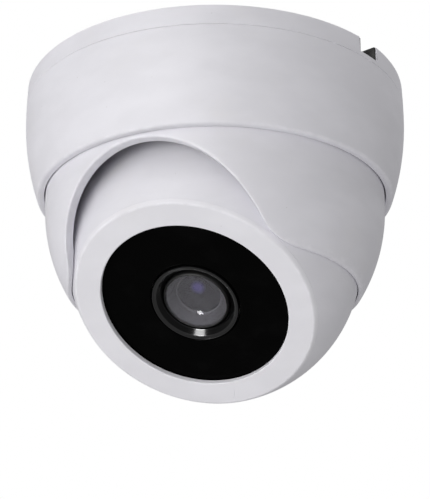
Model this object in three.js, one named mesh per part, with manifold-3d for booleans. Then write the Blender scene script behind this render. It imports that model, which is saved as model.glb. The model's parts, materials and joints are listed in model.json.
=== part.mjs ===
// Dome CCTV camera: a ceiling base with an upper housing, a turning cover with a scoop, an eyeball that
// swings in the scoop, and an optical module that turns in the eyeball behind a ring of infrared LEDs.
// Millimetres, +Z up to the ceiling. The origin is the centre of the base plate's back face, so the camera
// hangs below z = 0. At rest the eyeball looks down and towards -Y, turned a little to -X.

import * as THREE from 'three';
import { mergeVertices } from 'three/addons/utils/BufferGeometryUtils.js';
import Module from 'manifold-3d';

const wasm = await Module();
wasm.setup();

// ---- Driving dimensions -------------------------------------------------------------------------------

const turnSegments = 48; // facets round a large piece that shows
const innerSegments = 24; // facets round a large piece inside
const fineSegments = 14; // facets round a small piece

const fitGap = 0.35; // clearance between pieces that touch or rest on each other
const boardGap = 0.3; // clearance between pieces stacked in the optical module
const runGap = 0.8; // wider clearance round the turning cover

// Eyeball
const ballRadius = 35.5;
const ballWall = 2.0;
const ballHeadroom = 7.7; // from the ceiling to the top of the ball
const shellSeam = -6; // plane between the two shells, along the lens axis
const headAzimuth = -25.5; // degrees from -Y towards +X
const lensDrop = 55.5; // degrees below level
const pinRadius = 2.5;
const pinReach = 3.0; // how deep the cover's pins enter the ball
const bushWall = 1.3;
const cupWall = 1.2;
const shellBossRadius = 2.3;
const shellBossTop = 4;
const shellScrewCount = 3;
const shellScrewSeat = 2.2; // plastic under a shell screw's head
const leadHoleRadius = 1.9;

// Turning cover. It stands off the ball, and its curve is centred above the ball's centre.
const coverStandOff = 3.3;
const coverWall = 2.7;
const coverCentreRise = 11.9; // above the ball's centre
const coverEdgeDrop = 9.8; // below the ball's centre
const collarHeight = 9.4; // straight collar above the curve, up to the flange
const flangeThickness = 1.7;
const flangeOverlap = 0.8;
const scoopRadius = 26;
const scoopAxisDrop = 12.4; // below the ball's centre
const scoopFillet = 5;
const washerThickness = 0.8;
const washerWidth = 2.8;
const retainerThickness = 1.7;
const retainerWidth = 3.5;
const snapCount = 6;
const snapHeight = 1.2;
const snapWidth = 6;

// Outer body: its side bulges out past the cover and curves in above and below.
const housingStep = 4.7; // from the opening to the widest line
const housingRise = 2.5; // lower edge of the housing above the cover's centre
const housingWall = 2.0;
const bulgeDepth = 8.2; // how far below the ceiling the body is widest
const baseTuck = 0.21; // how much narrower the body is at the ceiling than at its widest
const housingTuck = 3.49; // and at the housing's lower edge
const edgeRound = 0.7;

// Base plate
const baseRimDepth = 5.05;
const basePlateThickness = 2.5;
const baseRimWall = 2.2;
const baseTongueDepth = 1.7; // the ring inside the housing that hides the seam
const baseTongueWall = 1.1;
const screwSlotCount = 3;
const screwSlotRadius = 30;
const screwSlotLength = 9;
const screwSlotWidth = 3.9;
const screwSlotTurn = 60; // degrees from +Y to the first slot
const hookCount = 3;
const hookWidth = 8;
const hookThickness = 2;
const hookLength = 8.2; // below the plate
const hookFoot = 1.5;
const hookTurn = 60; // degrees from +Y to the first hook

// Cable outlet
const cableAngle = 51; // degrees from -Y towards +X
const cableNotchWidth = 7;
const cableNotchDepth = 4.1; // a strip of the rim stays below it
const cableHoleRadius = 7;
const cableHoleDistance = 26;
const grommetBore = 1.9;
const grommetFlange = 1.6;
const channelWall = 0.5; // the rubber walls that line the notch

// Face, measured along the lens axis from the ball's centre
const facePlane = 20.65;
const faceWindowRecess = 1.6;
const bezelInnerRadius = 22.7;
const bezelSkirt = 0.9; // how far the bezel follows the sphere behind its face
const neckWall = 2.3; // the front shell's wall at its opening
const windowLap = 1.5; // how far the window reaches under the bezel
const windowThickness = 2.0;
const gasketThickness = 1.0;
const gasketWidth = 1.6;
const frameFlangeThickness = 1.8;
const frameRetain = 0.6;
const postRadius = 2.3;

// Infrared board
const ledBoardDrop = 3.65; // from the module frame's back down to the board's back face
const boardThickness = 1.6;
const ledPlaces = 13; // twelve LEDs and one light sensor
const ledRadius = 2.5;
const ledCollar = 2.85;
const ledHeight = 4.8;
const ledInset = 4.6; // from the board's edge to the LEDs' centres
const ledScrewInset = 1.9; // from the board's edge to its screws
const postGaps = [1, 5, 10]; // the gaps between LEDs that hold a screw and a post

// Main board and lens
const mainBoardPlane = -3.0; // its back face
const holderSize = 17;
const holderHeight = 8.1;
const holderTubeHeight = 3.5;
const barrelRadius = 5.9;
const barrelWall = 1.0;
const barrelNeckHeight = 9.9;
const barrelHeadStep = 2.0;
const barrelHeadHeight = 4.1;
const frontGlassRise = 0.7; // the glass stands this far above the barrel's head
const shroudGap = 0.4;
const shroudWall = 2.2;
const shroudHeight = 7.3;
const shroudRise = 0.45; // above the window's front face
const filterSlotRise = 2.6; // above the holder's foot
const filterSlotHeight = 2.2;
const filterFrameThickness = 1.5;
const filterRail = 2.1; // the frame's width on each side of its openings
const filterOpening = 7;
const filterPitch = 8; // travel from the day filter to the clear pane
const filterGlassThickness = 0.9;
const screwHeadRadius = 1.8;
const screwHeadHeight = 1.3;
const screwShankRadius = 0.9;
const ledScrewHeadRadius = 1.3;

// ---- Values that follow from the driving dimensions -----------------------------------------------------

// Radius of an arc that is upright at one end and has moved in by a tuck at the other.
function crownRadius(height, tuck) {
  return (height ** 2 + tuck ** 2) / (2 * tuck);
}

const ballCentreDepth = ballRadius + ballHeadroom;
const coverRadius = ballRadius + coverStandOff + coverWall;
const coverCentreDepth = ballCentreDepth - coverCentreRise;
const coverEdgeDepth = ballCentreDepth + coverEdgeDrop;
const scoopAxisDepth = ballCentreDepth + scoopAxisDrop;
const openingRadius = coverRadius + runGap;
const flangeRadius = openingRadius + flangeOverlap;
const flangeTopDepth = coverCentreDepth - collarHeight - flangeThickness;
const ledgeDepth = flangeTopDepth + flangeThickness + fitGap;
const washerBottom = -(flangeTopDepth - fitGap);
const washerTop = washerBottom + washerThickness;
const retainerBottom = washerTop + fitGap;
const retainerTop = retainerBottom + retainerThickness;
const housingRadius = openingRadius + housingStep;
const housingTopDepth = baseRimDepth + fitGap;
const housingDepth = coverCentreDepth - housingRise;
const baseCrown = crownRadius(bulgeDepth, baseTuck);
const housingCrown = crownRadius(housingDepth - bulgeDepth, housingTuck);
const hookInner = openingRadius - hookThickness - 0.5;
const socketRadius = pinRadius + fitGap + bushWall + boardGap;
const shellBossDistance = ballRadius - ballWall - shellBossRadius;
const bezelBack = facePlane - bezelSkirt;
const shellFront = bezelBack - fitGap;
const neckRadius = Math.sqrt(ballRadius ** 2 - shellFront ** 2) - neckWall;
const bezelTubeRadius = neckRadius - shroudGap;
const windowRadius = bezelInnerRadius + windowLap;
const windowFront = facePlane - faceWindowRecess;
const windowBack = windowFront - windowThickness;
const gasketFront = windowBack - boardGap;
const gasketBack = gasketFront - gasketThickness;
const frameFront = gasketBack - boardGap;
const frameBack = frameFront - frameFlangeThickness;
const frameInnerRadius = windowRadius - gasketWidth - 0.8;
const ledBoardPlane = frameBack - ledBoardDrop;
const ledBoardFront = ledBoardPlane + boardThickness;
const ledBoardRadius = frameInnerRadius - 0.6;
const ledRingRadius = ledBoardRadius - ledInset;
const ledScrewDistance = ledBoardRadius - ledScrewInset;
const postDistance = ledBoardRadius + postRadius + 0.8;
const mainBoardRadius = postDistance + postRadius;
const mainBoardFront = mainBoardPlane + boardThickness;
const postEnd = mainBoardFront + boardGap;
const holderBottom = mainBoardFront + boardGap;
const holderTop = holderBottom + holderHeight;
const holderTubeTop = holderTop + holderTubeHeight;
const filterCentre = holderBottom + filterSlotRise + filterSlotHeight / 2;
const filterFrameWidth = filterOpening + 2 * filterRail;
const barrelBottom = filterCentre + filterSlotHeight / 2 + 0.9;
const barrelNeckTop = barrelBottom + barrelNeckHeight;
const barrelHeadTop = barrelNeckTop + barrelHeadHeight;
const barrelHeadRadius = barrelRadius + barrelHeadStep;
const frontGlassRadius = barrelHeadRadius - barrelWall;
const frontGlassTop = barrelHeadTop + frontGlassRise;
const shroudBore = barrelHeadRadius + shroudGap;
const shroudRadius = shroudBore + shroudWall;
const shroudTop = windowFront + shroudRise;
const shroudBottom = shroudTop - shroudHeight;
const windowHoleRadius = shroudRadius + shroudGap;
const ledBoardHole = shroudRadius + 0.9;
const postAngles = postGaps.map((gap) => ((gap + 0.5) * 360) / ledPlaces + 90);

// ---- Materials ------------------------------------------------------------------------------------------

function material(colour, roughness, metalness = 0, opacity = 1) {
  const settings = { color: colour, roughness, metalness, opacity, transparent: opacity < 1 };
  return new THREE.MeshStandardMaterial(settings);
}

const whitePlastic = material(0xdedde4, 0.45);
const ballPlastic = material(0xdcdbe2, 0.42);
const blackPlastic = material(0x141415, 0.4);
const blackWindow = material(0x050506, 0.08);
const lensGlass = material(0x2a2a38, 0.03, 0, 0.6);
const filterGlass = material(0xb4505c, 0.05, 0, 0.6);
const clearGlass = material(0xdfe8ea, 0.05, 0, 0.4);
const rubber = material(0x1d1d1e, 0.8);
const nylon = material(0xe8e6de, 0.5);
const steel = material(0xb8babd, 0.3, 1);
const boardGreen = material(0x1c5a34, 0.5);
const boardWhite = material(0xe6e7e4, 0.5);
const ledEpoxy = material(0x30303a, 0.1, 0, 0.7);
const chipBlack = material(0x1a1a1c, 0.35);
const sensorGlass = material(0x39424f, 0.08);

// ---- Solids ---------------------------------------------------------------------------------------------

function signedVolume(points, index) {
  const [a, b, c] = [new THREE.Vector3(), new THREE.Vector3(), new THREE.Vector3()];
  let sum = 0;
  for (let i = 0; i < index.length; i += 3) {
    a.fromArray(points, 3 * index[i]);
    b.fromArray(points, 3 * index[i + 1]);
    c.fromArray(points, 3 * index[i + 2]);
    sum += a.dot(b.cross(c)) / 6;
  }
  return sum;
}

// A closed three.js geometry as a manifold solid with its faces pointing out.
function solid(geometry) {
  const bare = geometry.clone();
  bare.deleteAttribute('normal');
  bare.deleteAttribute('uv');
  const merged = mergeVertices(bare, 1e-4);
  const points = new Float32Array(merged.attributes.position.array);
  const corners = Array.from(merged.index.array);
  const index = [];
  for (let i = 0; i < corners.length; i += 3) {
    const [p, q, r] = corners.slice(i, i + 3);
    if (p !== q && q !== r && r !== p) index.push(p, q, r);
  }
  if (signedVolume(points, index) < 0) index.reverse();
  const mesh = new wasm.Mesh({ numProp: 3, vertProperties: points, triVerts: new Uint32Array(index) });
  return new wasm.Manifold(mesh);
}

function joined(first, ...others) {
  return others.reduce((whole, piece) => whole.add(piece), first);
}

function cut(body, ...tools) {
  return tools.reduce((whole, tool) => whole.subtract(tool), body);
}

function toGeometry(body) {
  const { numProp, vertProperties, triVerts } = body.getMesh();
  const positions = new Float32Array((vertProperties.length / numProp) * 3);
  for (let i = 0; i < positions.length / 3; i += 1) {
    positions.set(vertProperties.subarray(i * numProp, i * numProp + 3), 3 * i);
  }
  const geometry = new THREE.BufferGeometry();
  geometry.setAttribute('position', new THREE.BufferAttribute(positions, 3));
  geometry.setIndex(new THREE.BufferAttribute(new Uint32Array(triVerts), 1));
  geometry.computeVertexNormals();
  return geometry;
}

function piece(name, body, finish) {
  const mesh = new THREE.Mesh(toGeometry(body), finish);
  mesh.name = name;
  return mesh;
}

// A profile of [radius, height] points turned about the Z axis. It closes on itself or lies on the axis.
function turned(profile, segments = turnSegments) {
  const onAxis = profile[0][0] === 0 && profile[profile.length - 1][0] === 0;
  const outline = onAxis ? profile : [...profile, profile[0]];
  const points = outline.map(([radius, height]) => new THREE.Vector2(radius, height));
  const geometry = new THREE.LatheGeometry(points, segments);
  geometry.rotateX(Math.PI / 2);
  return solid(geometry);
}

// Points of an arc in a turned profile, from one angle to another in degrees, 0 pointing outwards.
function arc(centreRadius, centreHeight, radius, from, to, steps) {
  const points = [];
  for (let i = 0; i <= steps; i += 1) {
    const angle = THREE.MathUtils.degToRad(from + ((to - from) * i) / steps);
    const across = Math.max(0, centreRadius + radius * Math.cos(angle));
    points.push([across, centreHeight + radius * Math.sin(angle)]);
  }
  return points;
}

function block(size, centre) {
  const geometry = new THREE.BoxGeometry(...size);
  geometry.translate(...centre);
  return solid(geometry);
}

// A cylinder along Z between two heights.
function rod(radius, bottom, top, x = 0, y = 0, segments = fineSegments) {
  const geometry = new THREE.CylinderGeometry(radius, radius, top - bottom, segments);
  geometry.rotateX(Math.PI / 2);
  geometry.translate(x, y, (top + bottom) / 2);
  return solid(geometry);
}

// A cylinder along X between two places.
function crossRod(radius, from, to, height) {
  const geometry = new THREE.CylinderGeometry(radius, radius, Math.abs(to - from), fineSegments);
  geometry.rotateZ(Math.PI / 2);
  geometry.translate((from + to) / 2, 0, height);
  return solid(geometry);
}

// A flat outline in the X-Y plane, raised along Z between two heights.
function raised(shape, bottom, top, curveSegments = 5) {
  const geometry = new THREE.ExtrudeGeometry(shape, { depth: top - bottom, bevelEnabled: false, curveSegments });
  geometry.translate(0, 0, bottom);
  return solid(geometry);
}

function disc(radius, hole, bottom, top, segments) {
  return turned([[hole, bottom], [radius, bottom], [radius, top], [hole, top]], segments);
}

function turnedAbout(body, degrees) {
  return body.rotate([0, 0, degrees]);
}

function around(count, make) {
  return Array.from({ length: count }, (_, i) => make((360 * i) / count, i));
}

// Radius of the body's bulging side at a height below the ceiling (depth is positive downwards).
function sideRadius(depth) {
  const crown = depth < bulgeDepth ? baseCrown : housingCrown;
  const away = depth - bulgeDepth;
  return housingRadius - (crown - Math.sqrt(crown * crown - away * away));
}

function sidePoints(fromDepth, toDepth, steps, inset = 0) {
  const points = [];
  for (let i = 0; i <= steps; i += 1) {
    const depth = fromDepth + ((toDepth - fromDepth) * i) / steps;
    points.push([sideRadius(depth) - inset, -depth]);
  }
  return points;
}

// ---- Ceiling side -----------------------------------------------------------------------------------------

function screwSlot(angle) {
  const half = (screwSlotLength - screwSlotWidth) / 2;
  const end = screwSlotWidth / 2;
  const shape = new THREE.Shape();
  shape.absarc(half, 0, end, -Math.PI / 2, Math.PI / 2, false);
  shape.absarc(-half, 0, end, Math.PI / 2, (3 * Math.PI) / 2, false);
  shape.closePath();
  const slot = raised(shape, -basePlateThickness - 1, 1).translate([0, screwSlotRadius, 0]);
  return turnedAbout(slot, angle);
}

function baseHook(angle) {
  const bottom = -basePlateThickness - hookLength;
  const overlap = 0.5;
  const stemHeight = hookLength + overlap;
  const stem = block([hookWidth, hookThickness, stemHeight],
    [0, hookInner + hookThickness / 2, -basePlateThickness + overlap - stemHeight / 2]);
  const foot = block([hookWidth, hookFoot + overlap, hookFoot],
    [0, hookInner + hookThickness + (hookFoot - overlap) / 2, bottom + hookFoot / 2]);
  return turnedAbout(joined(stem, foot), angle);
}

function basePlate() {
  const rim = sidePoints(edgeRound, baseRimDepth - 0.2, 3);
  const rimInner = sideRadius(baseRimDepth) - baseRimWall;
  const tongueOuter = sideRadius(housingTopDepth) - housingWall - fitGap;
  const tongueInner = tongueOuter - baseTongueWall;
  const tongueBottom = -baseRimDepth - baseTongueDepth;
  const body = turned([
    [0, 0],
    [sideRadius(0) - edgeRound, 0],
    [sideRadius(0) - edgeRound * 0.3, -edgeRound * 0.3],
    ...rim,
    [sideRadius(baseRimDepth) - 0.2, -baseRimDepth],
    [tongueOuter, -baseRimDepth],
    [tongueOuter, tongueBottom],
    [Math.min(tongueInner, rimInner - 0.4), tongueBottom],
    [Math.min(tongueInner, rimInner - 0.4), -basePlateThickness],
    [0, -basePlateThickness],
  ]);
  const reach = housingRadius + 3 - cableHoleDistance;
  const height = cableNotchDepth + 1;
  const notch = block([cableNotchWidth, reach, height], [0, -cableHoleDistance - reach / 2, 1 - height / 2]);
  const hole = rod(cableHoleRadius, -basePlateThickness - 1, 1, 0, -cableHoleDistance, 24);
  const outlet = turnedAbout(joined(notch, hole), cableAngle);
  const slots = around(screwSlotCount, (angle) => screwSlot(angle + screwSlotTurn));
  const hooks = around(hookCount, (angle) => baseHook(angle + hookTurn));
  return piece('base_plate', cut(joined(body, ...hooks), outlet, ...slots), whitePlastic);
}

function cableGrommet() {
  const seat = cableHoleRadius - fitGap;
  const flangeBottom = -basePlateThickness - fitGap - grommetFlange;
  const body = turned([
    [grommetBore, -0.3],
    [seat, -0.3],
    [seat, -basePlateThickness - fitGap],
    [seat + 1.6, -basePlateThickness - fitGap],
    [seat + 1.6, flangeBottom],
    [grommetBore + 1.2, flangeBottom],
    [grommetBore, flangeBottom - 1.5],
  ], fineSegments).translate([0, -cableHoleDistance, 0]);
  const wallStart = cableHoleDistance + seat - 1.5;
  const wallLength = sideRadius(0) - 0.5 - wallStart;
  const wallHeight = cableNotchDepth - fitGap - 0.3;
  const walls = [-1, 1].map((side) => block([channelWall, wallLength, wallHeight], [
    side * (cableNotchWidth / 2 - fitGap - channelWall / 2),
    -wallStart - wallLength / 2,
    -0.3 - wallHeight / 2,
  ]));
  return piece('cable_grommet', turnedAbout(joined(body, ...walls), cableAngle), rubber);
}

function housingShell() {
  const lip = edgeRound;
  const wallAt = (depth) => sideRadius(depth) - housingWall;
  const body = turned([
    [wallAt(housingTopDepth), -housingTopDepth],
    [sideRadius(housingTopDepth) - 0.2, -housingTopDepth],
    ...sidePoints(housingTopDepth + 0.2, housingDepth - lip, 5),
    [sideRadius(housingDepth) - lip * 0.35, -housingDepth + lip * 0.25],
    [sideRadius(housingDepth) - lip, -housingDepth],
    [openingRadius + 0.2, -housingDepth],
    [openingRadius, -housingDepth + 0.3],
    [openingRadius, -ledgeDepth],
    [flangeRadius + fitGap, -ledgeDepth],
    [flangeRadius + fitGap, -flangeTopDepth],
    ...sidePoints(flangeTopDepth * 0.7, housingTopDepth + 0.5, 1, housingWall),
  ]);
  const lugTop = baseRimDepth + baseTongueDepth + 0.4;
  const lugBottom = basePlateThickness + hookLength - hookFoot - 0.4;
  const lugReach = hookInner + hookThickness + 0.4;
  const lugs = around(hookCount, (angle) => {
    const depth = wallAt(lugBottom) + 0.5 - lugReach;
    const size = [hookWidth + 2, depth, lugBottom - lugTop];
    return turnedAbout(block(size, [0, lugReach + depth / 2, -(lugTop + lugBottom) / 2]), angle + hookTurn);
  });
  const snaps = around(snapCount, (angle) => {
    const top = retainerTop + boardGap + snapHeight;
    const depth = wallAt(-top) + 0.5 - flangeRadius;
    const centre = [0, flangeRadius + depth / 2, top - snapHeight / 2];
    return turnedAbout(block([snapWidth, depth, snapHeight], centre), angle + hookTurn / 2);
  });
  return piece('housing_shell', joined(body, ...lugs, ...snaps), whitePlastic);
}

function slipWasher() {
  const outer = flangeRadius - 0.2;
  return piece('pan_slip_washer', disc(outer, outer - washerWidth, washerBottom, washerTop, innerSegments), nylon);
}

function retainingRing() {
  const outer = flangeRadius + 0.2;
  const body = disc(outer, outer - retainerWidth, retainerBottom, retainerTop, innerSegments);
  return piece('pan_retaining_ring', body, blackPlastic);
}

// ---- Turning cover, modelled looking towards -Y -----------------------------------------------------------

// The arched opening through which the eyeball looks, with a rounded corner on each side of the arch.
function scoopTool() {
  const drop = scoopAxisDepth - coverEdgeDepth;
  const reach = scoopRadius + scoopFillet;
  const filletX = Math.sqrt(reach ** 2 - (scoopFillet + drop) ** 2);
  const filletZ = -coverEdgeDepth + scoopFillet;
  const lean = Math.asin((scoopFillet + drop) / reach);
  const bottom = -coverEdgeDepth - 8;
  const shape = new THREE.Shape();
  shape.moveTo(-filletX, bottom);
  shape.lineTo(filletX, bottom);
  shape.absarc(filletX, filletZ, scoopFillet, -Math.PI / 2, -Math.PI + lean, true);
  shape.absarc(0, -scoopAxisDepth, scoopRadius, lean, Math.PI - lean, false);
  shape.absarc(-filletX, filletZ, scoopFillet, -lean, -Math.PI / 2, true);
  shape.closePath();
  const geometry = new THREE.ExtrudeGeometry(shape, {
    depth: coverRadius + 20, bevelEnabled: false, curveSegments: 14,
  });
  geometry.rotateX(Math.PI / 2);
  return solid(geometry);
}

function turretCover() {
  const inner = coverRadius - coverWall;
  const relief = ballRadius + fitGap;
  const centre = -coverCentreDepth;
  const edgeDrop = coverEdgeDepth - coverCentreDepth;
  const edgeAngle = (radius, drop) => -THREE.MathUtils.radToDeg(Math.asin(drop / radius));
  const meet = (inner ** 2 - relief ** 2 + ballCentreDepth ** 2 - coverCentreDepth ** 2)
    / (2 * (ballCentreDepth - coverCentreDepth));
  const reliefFrom = edgeAngle(relief, coverEdgeDrop);
  const reliefTo = edgeAngle(relief, meet - ballCentreDepth);
  const body = turned([
    [inner, -flangeTopDepth],
    [flangeRadius, -flangeTopDepth],
    [flangeRadius, -flangeTopDepth - flangeThickness],
    [coverRadius, -flangeTopDepth - flangeThickness],
    ...arc(0, centre, coverRadius, 0, edgeAngle(coverRadius, edgeDrop - 0.2), 6),
    [coverRadius * Math.cos(Math.asin(edgeDrop / coverRadius)) - 0.15, -coverEdgeDepth],
    ...arc(0, -ballCentreDepth, relief, reliefFrom, reliefTo, 2),
    ...arc(0, centre, inner, edgeAngle(inner, meet - coverCentreDepth - 0.3), 0, 3),
  ]);
  const pinTip = ballRadius - pinReach;
  const pinRoot = Math.sqrt(inner ** 2 - (ballCentreDepth - coverCentreDepth) ** 2) + coverWall / 2;
  const pins = [-1, 1].map((side) => crossRod(pinRadius, side * pinTip, side * pinRoot, -ballCentreDepth));
  return piece('turret_cover', joined(cut(body, scoopTool()), ...pins), whitePlastic);
}

// ---- Eyeball shell, modelled about the ball's centre with the lens axis along +Z ----------------------

function sphereAngle(radius, height) {
  return THREE.MathUtils.radToDeg(Math.asin(height / radius));
}

function shellScrewPlace(i) {
  const angle = THREE.MathUtils.degToRad(90 + (360 * i) / shellScrewCount);
  return [shellBossDistance * Math.cos(angle), shellBossDistance * Math.sin(angle)];
}

function ballFrontShell() {
  const inner = ballRadius - ballWall;
  const neckInside = Math.sqrt(inner ** 2 - neckRadius ** 2);
  const body = turned([
    ...arc(0, 0, ballRadius, sphereAngle(ballRadius, shellSeam), sphereAngle(ballRadius, shellFront), 5),
    [neckRadius, shellFront],
    ...arc(0, 0, inner, sphereAngle(inner, neckInside), sphereAngle(inner, shellSeam), 3),
  ]);
  const bosses = Array.from({ length: shellScrewCount }, (_, i) => {
    return rod(shellBossRadius, shellSeam, shellBossTop, ...shellScrewPlace(i), 12);
  });
  const bossHoles = Array.from({ length: shellScrewCount }, (_, i) => {
    return rod(screwShankRadius + boardGap, shellSeam - 1, shellBossTop - 1.5, ...shellScrewPlace(i), 8);
  });
  const socketFloor = ballRadius - pinReach - fitGap;
  const cups = [-1, 1].map((side) => {
    return crossRod(socketRadius + cupWall, side * (socketFloor - 1.5), side * (ballRadius - 1.2), 0);
  });
  const sockets = [-1, 1].map((side) => crossRod(socketRadius, side * socketFloor, side * (ballRadius + 5), 0));
  return piece('ball_front_shell', cut(joined(body, ...bosses, ...cups), ...sockets, ...bossHoles), ballPlastic);
}

function ballRearShell() {
  const inner = ballRadius - ballWall;
  const seam = shellSeam - fitGap;
  const holeHeight = (radius) => -Math.sqrt(radius ** 2 - leadHoleRadius ** 2);
  const body = turned([
    ...arc(0, 0, ballRadius, sphereAngle(ballRadius, holeHeight(ballRadius)), sphereAngle(ballRadius, seam), 5),
    ...arc(0, 0, inner, sphereAngle(inner, seam), sphereAngle(inner, holeHeight(inner)), 4),
  ], innerSegments);
  const ballSolid = turned(arc(0, 0, ballRadius, -90, 90, 18), innerSegments);
  const columns = Array.from({ length: shellScrewCount }, (_, i) => {
    return rod(shellBossRadius + 0.5, seam - 6, seam, ...shellScrewPlace(i), 12).intersect(ballSolid);
  });
  const holes = Array.from({ length: shellScrewCount }, (_, i) => {
    const [x, y] = shellScrewPlace(i);
    const shank = rod(screwShankRadius + boardGap, -ballRadius, seam + 1, x, y, 8);
    return joined(shank, rod(screwHeadRadius + boardGap, -ballRadius, seam - shellScrewSeat, x, y, 12));
  });
  return piece('ball_rear_shell', cut(joined(body, ...columns), ...holes), ballPlastic);
}

// A pan-head screw along Z with its head on the -Z side and its shank reaching to a height.
function screw(name, x, y, seat, tip, headRadius = screwHeadRadius) {
  const head = seat - boardGap;
  const body = turned([
    [0, head - screwHeadHeight],
    [headRadius * 0.8, head - screwHeadHeight],
    [headRadius, head],
    [screwShankRadius, head],
    [screwShankRadius, tip],
    [0, tip],
  ], 8);
  return piece(name, body.translate([x, y, 0]), steel);
}

function ballScrews() {
  return Array.from({ length: shellScrewCount }, (_, i) => {
    const seat = shellSeam - fitGap - shellScrewSeat;
    return screw(`ball_screw_${i + 1}`, ...shellScrewPlace(i), seat, shellBossTop - 2);
  });
}

function tiltBush(name, side) {
  const floor = ballRadius - pinReach - fitGap + boardGap;
  const ring = disc(pinRadius + fitGap + bushWall, pinRadius + fitGap, 0, pinReach - 0.4, fineSegments);
  return piece(name, ring.rotate([0, side * 90, 0]).translate([side * floor, 0, 0]), rubber);
}

// ---- Optical module: turns about the lens axis inside the eyeball ---------------------------------------

function bezelRing() {
  const edge = Math.sqrt(ballRadius ** 2 - facePlane ** 2);
  const back = Math.sqrt(ballRadius ** 2 - bezelBack ** 2);
  const seat = windowFront + boardGap;
  const bore = windowRadius + shroudGap;
  return piece('bezel_ring', turned([
    [bezelInnerRadius, seat],
    [bezelInnerRadius, facePlane - 0.15],
    [bezelInnerRadius + 0.15, facePlane],
    [edge - 0.75, facePlane],
    [edge - 0.35, facePlane - 0.1],
    [edge, facePlane - 0.3],
    [back, bezelBack],
    [bezelTubeRadius, bezelBack],
    [bezelTubeRadius, gasketFront],
    [bore, gasketFront],
    [bore, seat],
  ]), whitePlastic);
}

function faceWindow() {
  return piece('face_window', disc(windowRadius, windowHoleRadius, windowBack, windowFront), blackWindow);
}

function windowGasket() {
  return piece('window_gasket', disc(windowRadius, windowRadius - gasketWidth, gasketBack, gasketFront, innerSegments), rubber);
}

function atAngle(distance, degrees) {
  const angle = THREE.MathUtils.degToRad(degrees);
  return [distance * Math.cos(angle), distance * Math.sin(angle)];
}

function moduleFrame() {
  const flange = disc(neckRadius + frameRetain, frameInnerRadius, frameBack, frameFront, innerSegments);
  const earTop = ledBoardPlane - boardGap;
  const posts = postAngles.map((angle) => {
    const post = rod(postRadius, postEnd, frameBack + 0.5, ...atAngle(postDistance, angle), 10);
    const earLength = postDistance - ledScrewDistance + 2.4;
    const ear = block([earLength, 4.6, 1.8], [postDistance - earLength / 2, 0, earTop - 0.9]);
    return joined(post, turnedAbout(ear, angle));
  });
  const holes = postAngles.map((angle) => {
    const boardScrew = rod(screwShankRadius + boardGap, postEnd - 1, postEnd + 5, ...atAngle(postDistance, angle), 8);
    const ledScrew = rod(screwShankRadius + boardGap, earTop - 4, earTop + 1, ...atAngle(ledScrewDistance, angle), 8);
    return joined(boardScrew, ledScrew);
  });
  return piece('module_frame', cut(joined(flange, ...posts), ...holes), blackPlastic);
}

function ledBoard() {
  const board = disc(ledBoardRadius, ledBoardHole, ledBoardPlane, ledBoardFront, innerSegments);
  const holes = postAngles.map((angle) => {
    const place = atAngle(ledScrewDistance, angle);
    return rod(screwShankRadius + boardGap, ledBoardPlane - 1, ledBoardFront + 1, ...place, 8);
  });
  return piece('led_board', cut(board, ...holes), boardWhite);
}

function ledScrews() {
  return postAngles.map((angle, i) => {
    const [x, y] = atAngle(ledScrewDistance, angle);
    const top = ledBoardFront + boardGap;
    const body = turned([
      [0, ledBoardPlane - 2.6],
      [screwShankRadius, ledBoardPlane - 2.6],
      [screwShankRadius, top],
      [ledScrewHeadRadius, top],
      [ledScrewHeadRadius * 0.8, top + 1],
        [0, top + 1],
    ], 8);
    return piece(`led_screw_${i + 1}`, body.translate([x, y, 0]), steel);
  });
}

function led(name, degrees) {
  const base = ledBoardFront + boardGap;
  const shoulder = base + ledHeight - ledRadius;
  const body = turned([
    [0, base],
    [ledCollar, base],
    [ledCollar, base + 0.9],
    [ledRadius, base + 0.9],
    ...arc(0, shoulder, ledRadius, 0, 90, 2),
  ], 10);
  const [x, y] = atAngle(ledRingRadius, degrees);
  return piece(name, body.translate([x, y, 0]), ledEpoxy);
}

function leds() {
  return Array.from({ length: ledPlaces - 1 }, (_, i) => {
    const name = `infrared_led_${String(i + 1).padStart(2, '0')}`;
    return led(name, 90 + ((i + 1) * 360) / ledPlaces);
  });
}

function lightSensor() {
  const base = ledBoardFront + boardGap;
  const body = rod(1.9, base, base + 2.4, ...atAngle(ledRingRadius, 90), 12);
  return piece('light_sensor', body, sensorGlass);
}

function lightShroud() {
  return piece('light_shroud', turned([
    [shroudBore, shroudBottom],
    [shroudRadius - 0.5, shroudBottom],
    [shroudRadius, windowBack - 0.6],
    [shroudRadius, shroudTop - 0.3],
    [shroudRadius - 0.3, shroudTop],
    [shroudRadius - 0.9, shroudTop],
    [shroudBore, barrelHeadTop - 2],
  ], innerSegments), blackPlastic);
}

function lensBarrel() {
  const bore = barrelRadius - barrelWall;
  const cup = frontGlassRadius + boardGap;
  return piece('lens_barrel', turned([
    [bore, barrelBottom],
    [barrelRadius, barrelBottom],
    [barrelRadius, barrelNeckTop],
    [barrelHeadRadius, barrelNeckTop],
    [barrelHeadRadius, barrelHeadTop - 0.2],
    [barrelHeadRadius - 0.2, barrelHeadTop],
    [cup, barrelHeadTop],
    [cup, barrelNeckTop + 0.7],
    [bore, barrelNeckTop + 0.7],
  ], innerSegments), blackPlastic);
}

function frontGlass() {
  const back = barrelNeckTop + 1.0;
  const rise = frontGlassRise + boardGap;
  const dome = (frontGlassRadius ** 2 + rise ** 2) / (2 * rise);
  const rim = THREE.MathUtils.radToDeg(Math.acos(frontGlassRadius / dome));
  return piece('lens_front_glass', turned([
    [0, back],
    [frontGlassRadius, back],
    ...arc(0, frontGlassTop - dome, dome, rim, 90, 3),
  ], innerSegments), lensGlass);
}

function rearGlass() {
  const radius = barrelRadius - barrelWall - boardGap;
  return piece('lens_rear_glass', turned([
    [0, barrelBottom + 0.4],
    [radius, barrelBottom + 0.8],
    [radius, barrelBottom + 2.6],
    [0, barrelBottom + 3],
  ], fineSegments), lensGlass);
}

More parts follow.
